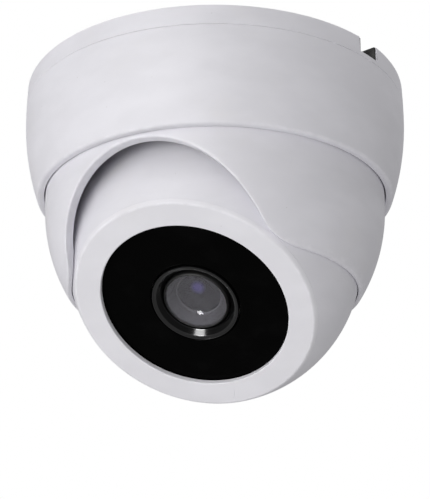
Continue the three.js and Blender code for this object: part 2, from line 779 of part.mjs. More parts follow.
function lockRing() {
  const bottom = holderTubeTop + boardGap;
  const body = disc(barrelRadius + 2.2, barrelRadius + boardGap, bottom, bottom + 1.8, fineSegments);
  return piece('lens_lock_ring', body, steel);
}

function lensHolder() {
  const box = block([holderSize, holderSize, holderHeight], [0, 0, holderBottom + holderHeight / 2]);
  const tube = rod(barrelRadius + 2, holderTop - 1, holderTubeTop, 0, 0, fineSegments);
  const bore = rod(barrelRadius + boardGap, holderBottom - 1, holderTubeTop + 1, 0, 0, fineSegments);
  const slot = block([holderSize + 2, filterFrameWidth + 2 * fitGap, filterSlotHeight], [0, 0, filterCentre]);
  return piece('lens_holder', cut(joined(box, tube), bore, slot), blackPlastic);
}

function filterMotor() {
  const body = block([8, 5, 5.5], [0, holderSize / 2 + boardGap + 2.5, holderBottom + 2.75]);
  return piece('filter_motor', body, chipBlack);
}

function imageSensor() {
  return piece('image_sensor', block([7.6, 6.8, 1.1], [0, 0, holderBottom + 0.55]), sensorGlass);
}

function mainBoard() {
  const board = rod(mainBoardRadius, mainBoardPlane, mainBoardFront, 0, 0, innerSegments);
  const holes = postAngles.map((angle) => {
    const place = atAngle(postDistance, angle);
    return rod(screwShankRadius + boardGap, mainBoardPlane - 1, mainBoardFront + 1, ...place, 8);
  });
  return piece('main_board', cut(board, ...holes), boardGreen);
}

function boardScrews() {
  return postAngles.map((angle, i) => {
    return screw(`board_screw_${i + 1}`, ...atAngle(postDistance, angle), mainBoardPlane, mainBoardFront + 4.5);
  });
}

function processorChip() {
  return piece('processor_chip', block([11, 11, 1.2], [0, 4, mainBoardPlane - boardGap - 0.6]), chipBlack);
}

function cableConnector() {
  return piece('cable_connector', block([12, 4.6, 5], [0, -13, mainBoardPlane - boardGap - 2.5]), nylon);
}

// ---- Day and night filter: slides in the lens holder --------------------------------------------------

function filterFrame() {
  const length = filterPitch + filterOpening + 3;
  const body = block([length, filterFrameWidth, filterFrameThickness], [-filterPitch / 2, 0, filterCentre]);
  const openings = [0, -filterPitch].map((x) => {
    return block([filterOpening, filterOpening, filterFrameThickness + 2], [x, 0, filterCentre]);
  });
  return piece('filter_frame', cut(body, ...openings), blackPlastic);
}

function filterPane(name, x, finish) {
  const side = filterOpening - 2 * boardGap;
  return piece(name, block([side, side, filterGlassThickness], [x, 0, filterCentre]), finish);
}

// ---- Assembly -----------------------------------------------------------------------------------------------

const camera = new THREE.Group();
camera.add(basePlate(), cableGrommet(), housingShell(), slipWasher(), retainingRing());

const turret = new THREE.Group();
turret.rotation.z = THREE.MathUtils.degToRad(headAzimuth);
turret.add(turretCover());
camera.add(turret);

const eyeball = new THREE.Group();
eyeball.position.z = -ballCentreDepth;
eyeball.rotation.x = THREE.MathUtils.degToRad(90 + lensDrop);
eyeball.add(ballFrontShell(), ballRearShell(), ...ballScrews());
eyeball.add(tiltBush('tilt_bush_left', -1), tiltBush('tilt_bush_right', 1));
eyeball.add(bezelRing(), faceWindow(), windowGasket(), moduleFrame());
eyeball.add(ledBoard(), ...ledScrews(), ...leds(), lightSensor());
eyeball.add(lightShroud(), lensBarrel(), frontGlass(), rearGlass(), lockRing(), lensHolder());
eyeball.add(filterMotor(), imageSensor(), mainBoard(), ...boardScrews(), processorChip(), cableConnector());
eyeball.add(filterFrame());
eyeball.add(filterPane('cut_filter_glass', 0, filterGlass), filterPane('clear_filter_glass', -filterPitch, clearGlass));
turret.add(eyeball);

export default camera;
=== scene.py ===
# %% [markdown]
# # A ceiling dome camera, piece by piece
# The mechanical model arrives as a fixed frame of plain solids that already fit and move. This lesson
# gives every solid that shows a fine surface of its own, keeps the ones that are right as they are, and
# paints all of them. Nothing here is moved: a piece is made where the frame says it belongs.

# %% Load the frame
import json
import math

import bmesh
import bpy
from mathutils import Matrix, Vector


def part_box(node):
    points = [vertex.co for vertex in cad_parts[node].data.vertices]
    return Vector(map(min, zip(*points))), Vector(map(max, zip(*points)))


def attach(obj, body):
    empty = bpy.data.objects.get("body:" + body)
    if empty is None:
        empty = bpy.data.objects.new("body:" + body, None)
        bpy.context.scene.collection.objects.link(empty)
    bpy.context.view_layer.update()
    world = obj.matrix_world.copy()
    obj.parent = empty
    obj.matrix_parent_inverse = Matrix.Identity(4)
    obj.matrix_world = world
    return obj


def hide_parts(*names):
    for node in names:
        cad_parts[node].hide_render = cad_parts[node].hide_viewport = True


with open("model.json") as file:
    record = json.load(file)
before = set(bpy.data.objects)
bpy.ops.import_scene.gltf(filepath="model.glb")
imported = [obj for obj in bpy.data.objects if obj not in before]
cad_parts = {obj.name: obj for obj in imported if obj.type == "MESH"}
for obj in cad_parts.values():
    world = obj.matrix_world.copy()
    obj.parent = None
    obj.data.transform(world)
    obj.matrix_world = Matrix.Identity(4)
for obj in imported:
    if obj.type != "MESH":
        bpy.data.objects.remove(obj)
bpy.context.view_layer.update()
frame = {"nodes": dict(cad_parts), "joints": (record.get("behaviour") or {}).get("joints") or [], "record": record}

print("nodes in the frame:", len(frame["nodes"]))

# %% [markdown]
# ## Where things are
# The frame's joints say where the head turns. The tilt joint gives the eyeball's centre and its level
# axis, and the twist joint gives the lens axis. Two matrices made from them place a piece that is modelled
# upright: TURRET looks out along its own -Y, and EYEBALL has the lens axis as its own +Z.

# %% Axes and sizes
MM = 0.001
joints = {joint["name"]: joint for joint in frame["joints"]}
ball_centre = Vector(joints["tilt"]["pos_m"])
tilt_axis = Vector(joints["tilt"]["axis"]).normalized()
lens_axis = Vector(joints["twist"]["axis"]).normalized()
upright = Vector((0, 0, 1))


def basis(x_axis, z_axis, origin):
    y_axis = z_axis.cross(x_axis)
    turn = Matrix((x_axis, y_axis, z_axis)).transposed().to_4x4()
    return Matrix.Translation(origin) @ turn


BASE = Matrix.Identity(4)
TURRET = basis(tilt_axis, upright, Vector((0, 0, 0)))
EYEBALL = basis(tilt_axis, lens_axis, ball_centre)

housing_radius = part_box("housing_shell")[1].x / MM
housing_depth = -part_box("housing_shell")[0].z / MM
cover_edge = -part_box("turret_cover")[0].z / MM
ball_depth = -ball_centre.z / MM
print(f"housing radius {housing_radius:.1f} mm, lower edge {housing_depth:.1f} mm below the ceiling")

# %% [markdown]
# ## Turned shapes with real edges
# Most of this camera is turned: its outline is spun about an axis. A moulded part never has a knife edge, so each
# corner of the outline is replaced by a small arc. Next to each arc lies a holding point, which keeps the flat
# beside it flat when the surface is shaded smooth. The arcs also leave a mark, the attribute "lip", that the paint
# reads later to put wear and painted highlights on edges only.

# %% Outlines
ARC_STEPS = 4


def bend(start, corner, end, steps):
    """Points on the soft curve that replaces a corner."""
    shares = [step / steps for step in range(steps + 1)]
    return [start * (1 - t) ** 2 + corner * 2 * t * (1 - t) + end * t ** 2 for t in shares]


def rounded(corners):
    """Outline points (radius, height, lip) in mm from corners (radius, height, fillet)."""
    points = []
    count = len(corners)
    for i, (radius, height, fillet) in enumerate(corners):
        here = Vector((radius, height))
        if fillet <= 0:
            points.append((here.x, here.y, 0.0))
            continue
        before = Vector(corners[i - 1][:2]) - here
        after = Vector(corners[(i + 1) % count][:2]) - here
        room = 0.45 * min(before.length, after.length)
        back, ahead = before.normalized(), after.normalized()
        reach = min(fillet, room)
        hold = min(1.35 * reach, room * 1.08)
        points.append((*(here + back * hold), 0.0))
        curve = bend(here + back * reach, here, here + ahead * reach, ARC_STEPS)
        points += [(spot.x, spot.y, 1.0) for spot in curve]
        points.append((*(here + ahead * hold), 0.0))
    return points


def arc(centre, radius, start, stop, steps):
    """Corners along an arc in the outline's plane, angles in degrees from straight out."""
    corners = []
    for step in range(steps + 1):
        angle = math.radians(start + (stop - start) * step / steps)
        across = max(0.0, centre[0] + radius * math.cos(angle))
        corners.append((across, centre[1] + radius * math.sin(angle), 0.0))
    return corners


def sphere_angle(radius, height):
    return math.degrees(math.asin(max(-1.0, min(1.0, height / radius))))


# %% Meshes
def in_scene(name, data):
    thing = bpy.data.objects.new(name, data)
    bpy.context.scene.collection.objects.link(thing)
    return thing


def new_piece(name, verts, faces, lips=None, sharp=32.0):
    mesh = bpy.data.meshes.new(name)
    mesh.from_pydata(verts, [], faces)
    if lips is not None:
        mark = mesh.attributes.new("lip", "FLOAT", "POINT")
        mark.data.foreach_set("value", lips)
    tidy(mesh, sharp)
    return in_scene(name, mesh)


def tidy(mesh, sharp=32.0):
    """Merges doubles, points the faces outwards and shades smooth between the sharp edges."""
    work = bmesh.new()
    work.from_mesh(mesh)
    bmesh.ops.remove_doubles(work, verts=work.verts, dist=1e-7)
    bmesh.ops.recalc_face_normals(work, faces=work.faces)
    if work.calc_volume(signed=True) < 0:
        bmesh.ops.reverse_faces(work, faces=work.faces)
    work.to_mesh(mesh)
    work.free()
    mesh.shade_smooth()
    mesh.set_sharp_from_angle(angle=math.radians(sharp))


def joined_columns(count, rows, skipped=()):
    """Faces between neighbouring columns of points, all the way round and closed from end to end."""
    faces = []
    for column in range(count):
        here, there = column * rows, ((column + 1) % count) * rows
        for row in range(rows):
            above = (row + 1) % rows
            if row not in skipped:
                faces.append((here + row, there + row, there + above, here + above))
    return faces


def turned(name, corners, place=BASE, segments=192, at=(0, 0), sharp=32.0):
    """Spins an outline about the Z axis at a place in mm. The outline closes on itself."""
    outline = rounded(corners)
    verts, lips = [], []
    for turn in range(segments):
        angle = 2 * math.pi * turn / segments
        for radius, height, lip in outline:
            spot = Vector((at[0] + radius * math.cos(angle), at[1] + radius * math.sin(angle), height))
            verts.append(place @ (spot * MM))
            lips.append(lip)
    rows = len(outline)
    on_axis = [point[0] < 1e-6 for point in outline]
    skipped = {row for row in range(rows) if on_axis[row] and on_axis[(row + 1) % rows]}
    faces = joined_columns(segments, rows, skipped)
    return new_piece(name, verts, faces, lips, sharp)


def block(name, size, centre, place=BASE, round_by=0.3):
    """A moulded block with rounded edges, size and centre in mm."""
    work = bmesh.new()
    bmesh.ops.create_cube(work, size=1.0)
    scale = Matrix.Diagonal((size[0] * MM, size[1] * MM, size[2] * MM, 1))
    bmesh.ops.transform(work, matrix=Matrix.Translation(Vector(centre) * MM) @ scale, verts=work.verts)
    bmesh.ops.bevel(work, geom=work.edges[:], offset=round_by * MM, segments=3, profile=0.5, affect="EDGES")
    bmesh.ops.transform(work, matrix=place, verts=work.verts)
    mesh = bpy.data.meshes.new(name)
    work.to_mesh(mesh)
    work.free()
    tidy(mesh)
    return in_scene(name, mesh)


def band(inner, outer, bottom, top, low_edge=0.1, high_edge=0.1):
    """Corners of a flat ring."""
    low = [(inner, bottom, low_edge), (outer, bottom, low_edge)]
    return [*low, (outer, top, high_edge), (inner, top, high_edge)]


def rod(name, radius, bottom, top, place=BASE, at=(0, 0), segments=48, edge=0.2):
    corners = [(0, bottom, 0), (radius, bottom, edge), (radius, top, edge), (0, top, 0)]
    return turned(name, corners, place, segments, at)


# %% [markdown]
# ## Cutting and joining
# Slots, notches and sockets are cut with exact booleans. The cutter is a piece like any other and is thrown
# away after the cut. The result is baked to a plain mesh, so that no modifier is left on a finished piece.

# %% Cuts and joins
def baked(piece):
    """Replaces a piece's mesh with what its modifiers make of it."""
    depsgraph = bpy.context.evaluated_depsgraph_get()
    mesh = bpy.data.meshes.new_from_object(piece.evaluated_get(depsgraph))
    piece.modifiers.clear()
    piece.data = mesh
    return piece


def combine(piece, others, operation, sharp=32.0):
    for other in others:
        step = piece.modifiers.new(operation, "BOOLEAN")
        step.operation = operation
        step.solver = "EXACT"
        step.object = other
    baked(piece)
    for other in others:
        bpy.data.objects.remove(other)
    piece.data.shade_smooth()
    piece.data.set_sharp_from_angle(angle=math.radians(sharp))
    return piece


def cut(piece, *tools):
    return combine(piece, tools, "DIFFERENCE")


def gathered(name, pieces):
    """Several separate shells kept together as one object."""
    work = bmesh.new()
    for piece in pieces:
        work.from_mesh(piece.data)
        bpy.data.objects.remove(piece)
    mesh = bpy.data.meshes.new(name)
    work.to_mesh(mesh)
    work.free()
    mesh.shade_smooth()
    mesh.set_sharp_from_angle(angle=math.radians(32))
    return in_scene(name, mesh)


# %% [markdown]
# ## Shader maths that reads like maths
# A node graph is hard to read as code. The class Value wraps one output socket and answers to + - * / and
# **, adding the Math node that does it. Paint starts a material, makes any other node in one call, and ends
# by joining the values to the Principled shader.

# %% Values and paint
class Value:
    """A number that changes over the surface."""

    def __init__(self, paint, socket):
        self.paint = paint
        self.socket = socket

    def maths(self, operation, first, second=None):
        inputs = {0: first} if second is None else {0: first, 1: second}
        return self.paint.node("ShaderNodeMath", {"operation": operation}, inputs)

    def __add__(self, other):
        return self.maths("ADD", self, other)

    def __sub__(self, other):
        return self.maths("SUBTRACT", self, other)

    def __rsub__(self, other):
        return self.maths("SUBTRACT", other, self)

    def __mul__(self, other):
        return self.maths("MULTIPLY", self, other)

    def __truediv__(self, other):
        return self.maths("DIVIDE", self, other)

    def __pow__(self, other):
        return self.maths("POWER", self, other)

    __radd__ = __add__
    __rmul__ = __mul__

    def between(self, low, high, start=0.0, end=1.0):
        """0 below low, 1 above high, smooth in between, or from start to end."""
        settings = {"interpolation_type": "SMOOTHSTEP", "clamp": True}
        inputs = {"Value": self, "From Min": low, "From Max": high, "To Min": start, "To Max": end}
        return self.paint.node("ShaderNodeMapRange", settings, inputs)


class Paint:
    """A material in the making."""

    def __init__(self, name):
        self.material = bpy.data.materials.new(name)
        self.material.use_nodes = True
        self.tree = self.material.node_tree
        self.tree.nodes.clear()
        self.shader = self.tree.nodes.new("ShaderNodeBsdfPrincipled")
        output = self.tree.nodes.new("ShaderNodeOutputMaterial")
        self.tree.links.new(self.shader.outputs["BSDF"], output.inputs["Surface"])
        self.place = self.node("ShaderNodeTexCoord", output="Object")

    def set_input(self, socket, value):
        if isinstance(value, Value):
            self.tree.links.new(value.socket, socket)
        elif isinstance(value, (tuple, list)) and len(value) == 3 and socket.type == "RGBA":
            socket.default_value = (*value, 1.0)
        else:
            socket.default_value = value

    def node(self, kind, settings=None, inputs=None, output=0):
        made = self.tree.nodes.new(kind)
        for name, value in (settings or {}).items():
            setattr(made, name, value)
        for key, value in (inputs or {}).items():
            self.set_input(made.inputs[key], value)
        return Value(self, made.outputs[output])

    def noise(self, size_mm, detail=3.0, roughness=0.55, stretch=(1, 1, 1)):
        """Soft random values round 0.5, with blotches about size_mm wide."""
        coords = self.place
        if stretch != (1, 1, 1):
            coords = self.node("ShaderNodeMapping", None, {"Vector": self.place, "Scale": stretch})
        inputs = {"Vector": coords, "Scale": 1 / (size_mm * MM), "Detail": detail, "Roughness": roughness}
        return self.node("ShaderNodeTexNoise", None, inputs)

    def specks(self, spacing_mm, size):
        """1 in small round dots scattered about spacing_mm apart, 0 elsewhere."""
        inputs = {"Vector": self.place, "Scale": 1 / (spacing_mm * MM)}
        away = self.node("ShaderNodeTexVoronoi", None, inputs, "Distance")
        return away.between(size, size * 0.4)

    def attribute(self, name):
        return self.node("ShaderNodeAttribute", {"attribute_name": name}, output="Fac")

    def mixed(self, first, second, factor):
        """From one colour to another."""
        made = self.tree.nodes.new("ShaderNodeMix")
        made.data_type = "RGBA"
        self.set_input(made.inputs["Factor"], factor)
        self.set_input(made.inputs[6], first)
        self.set_input(made.inputs[7], second)
        return Value(self, made.outputs[2])

    def bump(self, height, depth_mm, strength=1.0):
        inputs = {"Height": height, "Distance": depth_mm * MM, "Strength": strength}
        return self.node("ShaderNodeBump", None, inputs)

    def finish(self, **sockets):
        names = {"colour": "Base Color", "rough": "Roughness", "metal": "Metallic", "normal": "Normal",
                 "gloss": "Specular IOR Level", "coat": "Coat Weight", "coat_rough": "Coat Roughness",
                 "through": "Transmission Weight", "ior": "IOR", "glow": "Emission Strength",
                 "glow_colour": "Emission Color"}
        for key, value in sockets.items():
            self.set_input(self.shader.inputs[names[key]], value)
        return self.material


# %% [markdown]
# ## The white mouldings
# The case is ABS with a fine satin spark finish from the mould. Seen close it has a grain about a fifth of a
# millimetre wide. Seen from further off the white is not quite even: the flow of the plastic leaves faint clouds,
# hands leave slightly glossier patches, dust lies in the grain, and the edges are rubbed smooth and carry a
# painted highlight, a little lighter than the white beside them.

# %% White ABS
def moulded_white(name, white, rough, grain_mm=0.22):
    paint = Paint(name)
    grain = paint.noise(grain_mm, 4.0, 0.6)
    flow = paint.noise(14.0, 3.0, 0.5, (1, 1, 2.4))
    hands = paint.noise(24.0, 4.0, 0.6).between(0.5, 0.72)
    dust = paint.specks(2.6, 0.055) * paint.noise(9.0).between(0.52, 0.62)
    lip = paint.attribute("lip")
    rubbed_edge_and_highlight = lip * paint.noise(3.0, 4.0).between(0.42, 0.66)
    shade = tuple(value * 0.955 for value in white)
    warm = (white[0] * 0.975, white[1] * 0.965, white[2] * 0.93)
    colour = paint.mixed(shade, white, flow.between(0.3, 0.7))
    colour = paint.mixed(colour, warm, hands * 0.35)
    colour = paint.mixed(colour, (0.42, 0.40, 0.37), dust * 0.45)
    # painted highlight: the edges are painted a little lighter; the same mask makes them smoother, which is real
    # wear
    colour = paint.mixed(colour, tuple(min(1.0, value * 1.06) for value in white), rubbed_edge_and_highlight * 0.6)
    roughness = rough + (grain - 0.5) * 0.16 - hands * 0.07 - rubbed_edge_and_highlight * 0.10 + dust * 0.2
    normal = paint.bump(grain + dust * 0.8, 0.012, 0.55)
    return paint.finish(colour=colour, rough=roughness, normal=normal, gloss=0.17)


CASE_TONE = (0.80, 0.79, 0.835)
# painted light: the bezel is the same white as the case, painted lighter to offset the shade on its face, which
# looks downwards
BEZEL_TONE_PAINTED_LIGHTER = (0.83, 0.82, 0.86)

# %% [markdown]
# ## Blacks, glass and metal
# The window is black acrylic that lets infrared through: it is polished, shows almost nothing, and carries
# hair-fine wipe marks and a little dust. The rim round the lens is a glossy moulding, whose rounded lip is painted
# a little lighter as a sheen. The lens is coated glass: a clear dome over a dark cone and a dark element, on which
# a violet gleam of the coating and faint rings are painted as reflections.

# %% Black plastics
def window_black():
    paint = Paint("window_black_acrylic")
    wipes = paint.noise(0.5, 2.0, 0.5, (1, 14, 1)).between(0.56, 0.70)
    haze = paint.noise(9.0, 3.0).between(0.45, 0.75)
    dust = paint.specks(3.4, 0.03) * paint.noise(6.0).between(0.5, 0.6)
    colour = paint.mixed((0.0010, 0.0010, 0.0010), (0.0022, 0.0022, 0.0022), haze)
    colour = paint.mixed(colour, (0.05, 0.05, 0.05), dust * 0.35)
    roughness = 0.045 + haze * 0.03 + wipes * 0.05 + dust * 0.3
    normal = paint.bump(wipes + dust, 0.0006, 0.2)
    return paint.finish(colour=colour, rough=roughness, normal=normal, gloss=0.03)


def shroud_black():
    paint = Paint("shroud_gloss_black")
    swirl = paint.noise(2.2, 3.0)
    lip = paint.attribute("lip")
    colour = paint.mixed((0.0016, 0.0016, 0.0017), (0.0034, 0.0034, 0.0036), swirl)
    # painted sheen: the rounded lip is painted a lighter grey for the light it reflects; its coat is real gloss
    colour = paint.mixed(colour, (0.008, 0.008, 0.0083), lip * 0.6)
    roughness = 0.12 + swirl * 0.05 + lip * 0.08
    normal = paint.bump(swirl, 0.002, 0.15)
    return paint.finish(colour=colour, rough=roughness, coat=lip * 0.8, coat_rough=0.06, normal=normal,
                        gloss=0.16)


def matt_black(name="matt_black_abs", tone=0.014, rough=0.58):
    paint = Paint(name)
    grain = paint.noise(0.25, 4.0, 0.6)
    flow = paint.noise(6.0)
    colour = paint.mixed((tone * 0.8,) * 3, (tone * 1.25,) * 3, flow)
    roughness = rough + (grain - 0.5) * 0.22
    return paint.finish(colour=colour, rough=roughness, normal=paint.bump(grain, 0.012, 0.6), gloss=0.2)


def rubber_black():
    paint = Paint("rubber_black")
    grain = paint.noise(0.4, 5.0, 0.65)
    bloom = paint.noise(3.5, 3.0).between(0.5, 0.75)
    colour = paint.mixed((0.016, 0.016, 0.016), (0.045, 0.044, 0.042), bloom)
    normal = paint.bump(grain, 0.02, 0.7)
    return paint.finish(colour=colour, rough=0.72 + grain * 0.15, normal=normal, gloss=0.3)


# %% Glass
def coated_glass():
    paint = Paint("coated_glass")
    smear = paint.noise(2.5, 3.0, 0.5, (1, 3, 1)).between(0.5, 0.8)
    roughness = 0.025 + smear * 0.015
    tone = paint.mixed((0.86, 0.85, 0.90), (0.80, 0.79, 0.86), smear)
    return paint.finish(colour=tone, rough=roughness, through=1.0, ior=1.5)


def inner_lens():
    """The element behind: smoky, with painted reflections: the violet gleam of its coating at a spot off its
    centre, and faint lighter rings round that spot.
    """
    paint = Paint("inner_lens_glass")
    away = paint.attribute("spread")
    ripple = paint.noise(1.4, 1.0)
    # painted reflection: faint lighter rings round the spot
    edge = paint.node("ShaderNodeMath", {"operation": "PINGPONG"}, {0: away, 1: 0.19}) / 0.19
    colour = paint.mixed((0.006, 0.0055, 0.0075), (0.009, 0.0083, 0.011), ripple)
    colour = paint.mixed(colour, (0.022, 0.021, 0.025), edge.between(0.75, 1.0) * away.between(0.75, 0.3))
    # painted reflection: the violet gleam of the coating, brightest at the spot
    colour = paint.mixed(colour, (0.050, 0.038, 0.135), away.between(0.42, 0.10) * 0.95)
    return paint.finish(colour=colour, rough=0.2 + ripple * 0.04, gloss=0.12)


def baffle_grey():
    paint = Paint("baffle_grey")
    rings = paint.noise(0.35, 3.0)
    colour = paint.mixed((0.022, 0.021, 0.024), (0.034, 0.032, 0.037), rings)
    # painted highlight: the rounded inner edge is painted as a lighter grey ring
    colour = paint.mixed(colour, (0.10, 0.098, 0.105), paint.attribute("lip") * 0.7)
    normal = paint.bump(rings, 0.006, 0.5)
    return paint.finish(colour=colour, rough=0.5 + rings * 0.15, normal=normal, gloss=0.3)


def cloudy(name, size_mm, detail, colours, rough, swing, **constants):
    """A plain finish whose colour and gloss drift softly."""
    paint = Paint(name)
    cloud = paint.noise(size_mm, detail)
    colour = paint.mixed(*colours, cloud)
    return paint.finish(colour=colour, rough=rough + cloud * swing, **constants)


def tinted_glass(name, colour):
    darker = tuple(value * 0.8 for value in colour)
    return cloudy(name, 1.5, 2.0, (colour, darker), 0.04, 0.04, through=0.7, ior=1.5)


# %% Metal, boards and small parts
def plated_steel():
    paint = Paint("plated_steel")
    scratch = paint.noise(0.15, 3.0, 0.6, (1, 1, 9))
    stain = paint.noise(1.6, 3.0).between(0.5, 0.8)
    colour = paint.mixed((0.62, 0.63, 0.65), (0.40, 0.39, 0.37), stain)
    roughness = 0.22 + scratch * 0.2 + stain * 0.12
    return paint.finish(colour=colour, rough=roughness, metal=1.0, normal=paint.bump(scratch, 0.004, 0.4))


def natural_nylon():
    paint = Paint("natural_nylon")
    cloud = paint.noise(2.0, 3.0)
    colour = paint.mixed((0.66, 0.64, 0.56), (0.76, 0.74, 0.67), cloud)
    return paint.finish(colour=colour, rough=0.42 + cloud * 0.14, normal=paint.bump(cloud, 0.01, 0.4))


def solder_mask(name, mask, track, pitch_mm):
    """A circuit board: the mask's colour, tracks a little lighter and raised, and tinned pads."""
    paint = Paint(name)
    brick = {"Vector": paint.place, "Scale": 1 / (pitch_mm * MM), "Mortar Size": 0.08,
             "Color1": (0, 0, 0), "Color2": (0.15, 0.15, 0.15), "Mortar": (1, 1, 1)}
    lines = paint.node("ShaderNodeTexBrick", None, brick, "Fac")
    broken = lines * paint.noise(3.0, 2.0).between(0.44, 0.5)
    pads = paint.specks(2.0, 0.2) * paint.noise(5.0).between(0.5, 0.53)
    colour = paint.mixed(mask, track, broken)
    colour = paint.mixed(colour, (0.72, 0.70, 0.62), pads)
    roughness = 0.38 - pads * 0.1 + paint.noise(0.3) * 0.12
    return paint.finish(colour=colour, rough=roughness, normal=paint.bump(broken + pads, 0.03, 0.6))


def smoked_epoxy():
    tones = (0.035, 0.03, 0.04), (0.07, 0.06, 0.075)
    return cloudy("smoked_epoxy", 1.2, 2.0, tones, 0.1, 0.05, coat=0.5, coat_rough=0.03)


def sensor_face():
    tones = (0.03, 0.035, 0.05), (0.07, 0.06, 0.11)
    return cloudy("sensor_face", 0.12, 1.0, tones, 0.08, 0.05, coat=0.6, coat_rough=0.02)


finishes = {
    "housing_white": moulded_white("case_white_abs", CASE_TONE, 0.56),
    "ball_white": moulded_white("ball_white_abs", CASE_TONE, 0.52, 0.18),
    "bezel_white": moulded_white("bezel_white_abs", BEZEL_TONE_PAINTED_LIGHTER, 0.58, 0.20),
    "window_black": window_black(),
    "shroud_black": shroud_black(),
    "black_plastic": matt_black(),
    "lens_glass": coated_glass(),
    "cut_filter": tinted_glass("infrared_cut_glass", (0.75, 0.25, 0.32)),
    "clear_filter": tinted_glass("clear_pane", (0.88, 0.93, 0.94)),
    "rubber": rubber_black(),
    "nylon": natural_nylon(),
    "steel": plated_steel(),
    "main_board": solder_mask("main_board_mask", (0.012, 0.10, 0.035), (0.03, 0.20, 0.07), 2.2),
    "led_board": solder_mask("led_board_mask", (0.72, 0.73, 0.70), (0.80, 0.80, 0.77), 3.1),
    "led_epoxy": smoked_epoxy(),
    "chip_black": matt_black("chip_package", 0.022, 0.4),
    "sensor": sensor_face(),
}
print("finishes:", len(finishes))


# %% Handing a piece over
def fit(piece, body, slot, *nodes, finish=None):
    """Paints a finished piece, puts it on its body and hides the CAD nodes it stands for."""
    if finish or not piece.data.materials:
        piece.data.materials.clear()
        piece.data.materials.append(finish or finishes[slot])
    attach(piece, body)
    if nodes:
        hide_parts(*nodes)
    faces = sum(len(polygon.vertices) - 2 for polygon in piece.data.polygons)
    print(f"{piece.name}: {faces} triangles on {body}")
    return piece


# %% [markdown]
# ## Rings of equal parts with Geometry Nodes
# LEDs, screws, hooks and snap ribs all stand in rings. One tree makes any such ring: a circle of points,
# each turned to face outwards, carries a copy of a template, and places that are left out are chosen by
# index. Its sizes are named inputs, so the same tree serves every ring here.

# %% Trees
class Tree:
    """A Geometry Nodes tree in the making: named inputs, one call for each node, and one ending for all."""

    def __init__(self, name, inputs):
        self.group = bpy.data.node_groups.new(name, "GeometryNodeTree")
        face = self.group.interface
        face.new_socket("Geometry", in_out="OUTPUT", socket_type="NodeSocketGeometry")
        for label, kind in {"Finish": "Material", **inputs}.items():
            face.new_socket(label, in_out="INPUT", socket_type="NodeSocket" + kind)
        self.given = self.group.nodes.new("NodeGroupInput").outputs

    def node(self, kind, inputs=None, output=0, **settings):
        full_kind = kind if kind.startswith(("Shader", "Function")) else "GeometryNode" + kind
        made = self.group.nodes.new(full_kind)
        for name, value in settings.items():
            setattr(made, name, value)
        for key, value in (inputs or {}).items():
            if isinstance(value, bpy.types.NodeSocket):
                self.group.links.new(value, made.inputs[key])
            else:
                made.inputs[key].default_value = value
        return made.outputs[output]

    def close(self, geometry):
        """Makes the copies real, paints them and hands them out."""
        real = self.node("RealizeInstances", {0: geometry})
        painted = self.node("SetMaterial", {"Geometry": real, "Material": self.given["Finish"]})
        self.group.links.new(painted, self.group.nodes.new("NodeGroupOutput").inputs[0])
        return self.group


def ring_tree():
    tree = Tree("ring_of_parts", {"Template": "Object", "Count": "Int", "Ring Radius": "Float",
                                  "Start Angle": "Float", "Skip First": "Int"})
    given = tree.given
    index = tree.node("InputIndex")
    share = tree.node("ShaderNodeMath", {0: index, 1: given["Count"]}, operation="DIVIDE")
    around = {0: share, 1: 2 * math.pi, 2: given["Start Angle"]}
    angle = tree.node("ShaderNodeMath", around, operation="MULTIPLY_ADD")
    turn = tree.node("ShaderNodeCombineXYZ", {"Z": angle})
    outwards = tree.node("ShaderNodeCombineXYZ", {"X": given["Ring Radius"]})
    spot = tree.node("ShaderNodeVectorRotate", {"Vector": outwards, "Angle": angle}, rotation_type="Z_AXIS")
    points = tree.node("Points", {"Count": given["Count"], "Position": spot})
    chosen = tree.node("FunctionNodeCompare", {2: index, 3: given["Skip First"]}, data_type="INT",
                       operation="GREATER_EQUAL")
    template = tree.node("ObjectInfo", {"Object": given["Template"]}, "Geometry")
    copies = tree.node("InstanceOnPoints", {"Points": points, "Selection": chosen, "Instance": template,
                                            "Rotation": turn})
    return tree.close(copies)


RING_TREE = ring_tree()


def run_tree(name, tree, values, place):
    """Runs a tree on an empty mesh, gives back the plain mesh it makes, moved to its place."""
    piece = in_scene(name, bpy.data.meshes.new(name))
    modifier = piece.modifiers.new(name, "NODES")
    modifier.node_group = tree
    for item in tree.interface.items_tree:
        if item.in_out == "INPUT" and item.name in values:
            modifier[item.identifier] = values[item.name]
    baked(piece)
    piece.data.transform(place)
    return piece


def ring_of(name, template, count, radius_mm, slot, place=EYEBALL, start=0.0, skip_first=0):
    values = {"Template": template, "Finish": finishes[slot], "Count": count, "Ring Radius": radius_mm * MM,
              "Start Angle": math.radians(start), "Skip First": skip_first}
    piece = run_tree(name, RING_TREE, values, place)
    bpy.data.objects.remove(template)
    return piece


# %% [markdown]
# ## Base plate
# The round plate that is screwed to the ceiling. Its rim carries the notch where the cable leaves, and its
# flat back has three slots for the screws and a hole for the cable. It is turned first and cut after.

# %% Base plate
RIM_DEPTH = 5.2
PLATE = 2.5
SIDE_BULGE = 8.2          # how far below the ceiling the side is widest
SEAM = 0.35               # gap between two mouldings that turn in each other
HAIRLINE = 0.08           # gap between two mouldings that are pressed together
RUNNING_GAP = 0.2         # gap between two faces that slide past each other
CABLE_ANGLE = 51.0        # degrees from -Y towards +X
NOTCH_WIDTH = 7.0
NOTCH_DEPTH = 4.1         # a strip of the rim stays below the notch
CABLE_DISTANCE = 26.0
SLOT_DISTANCE = 30         # from the centre to each screw slot
SLOT_TURN = 60             # degrees to the first slot
opening_radius = 42.3
flange_radius = opening_radius + 0.8


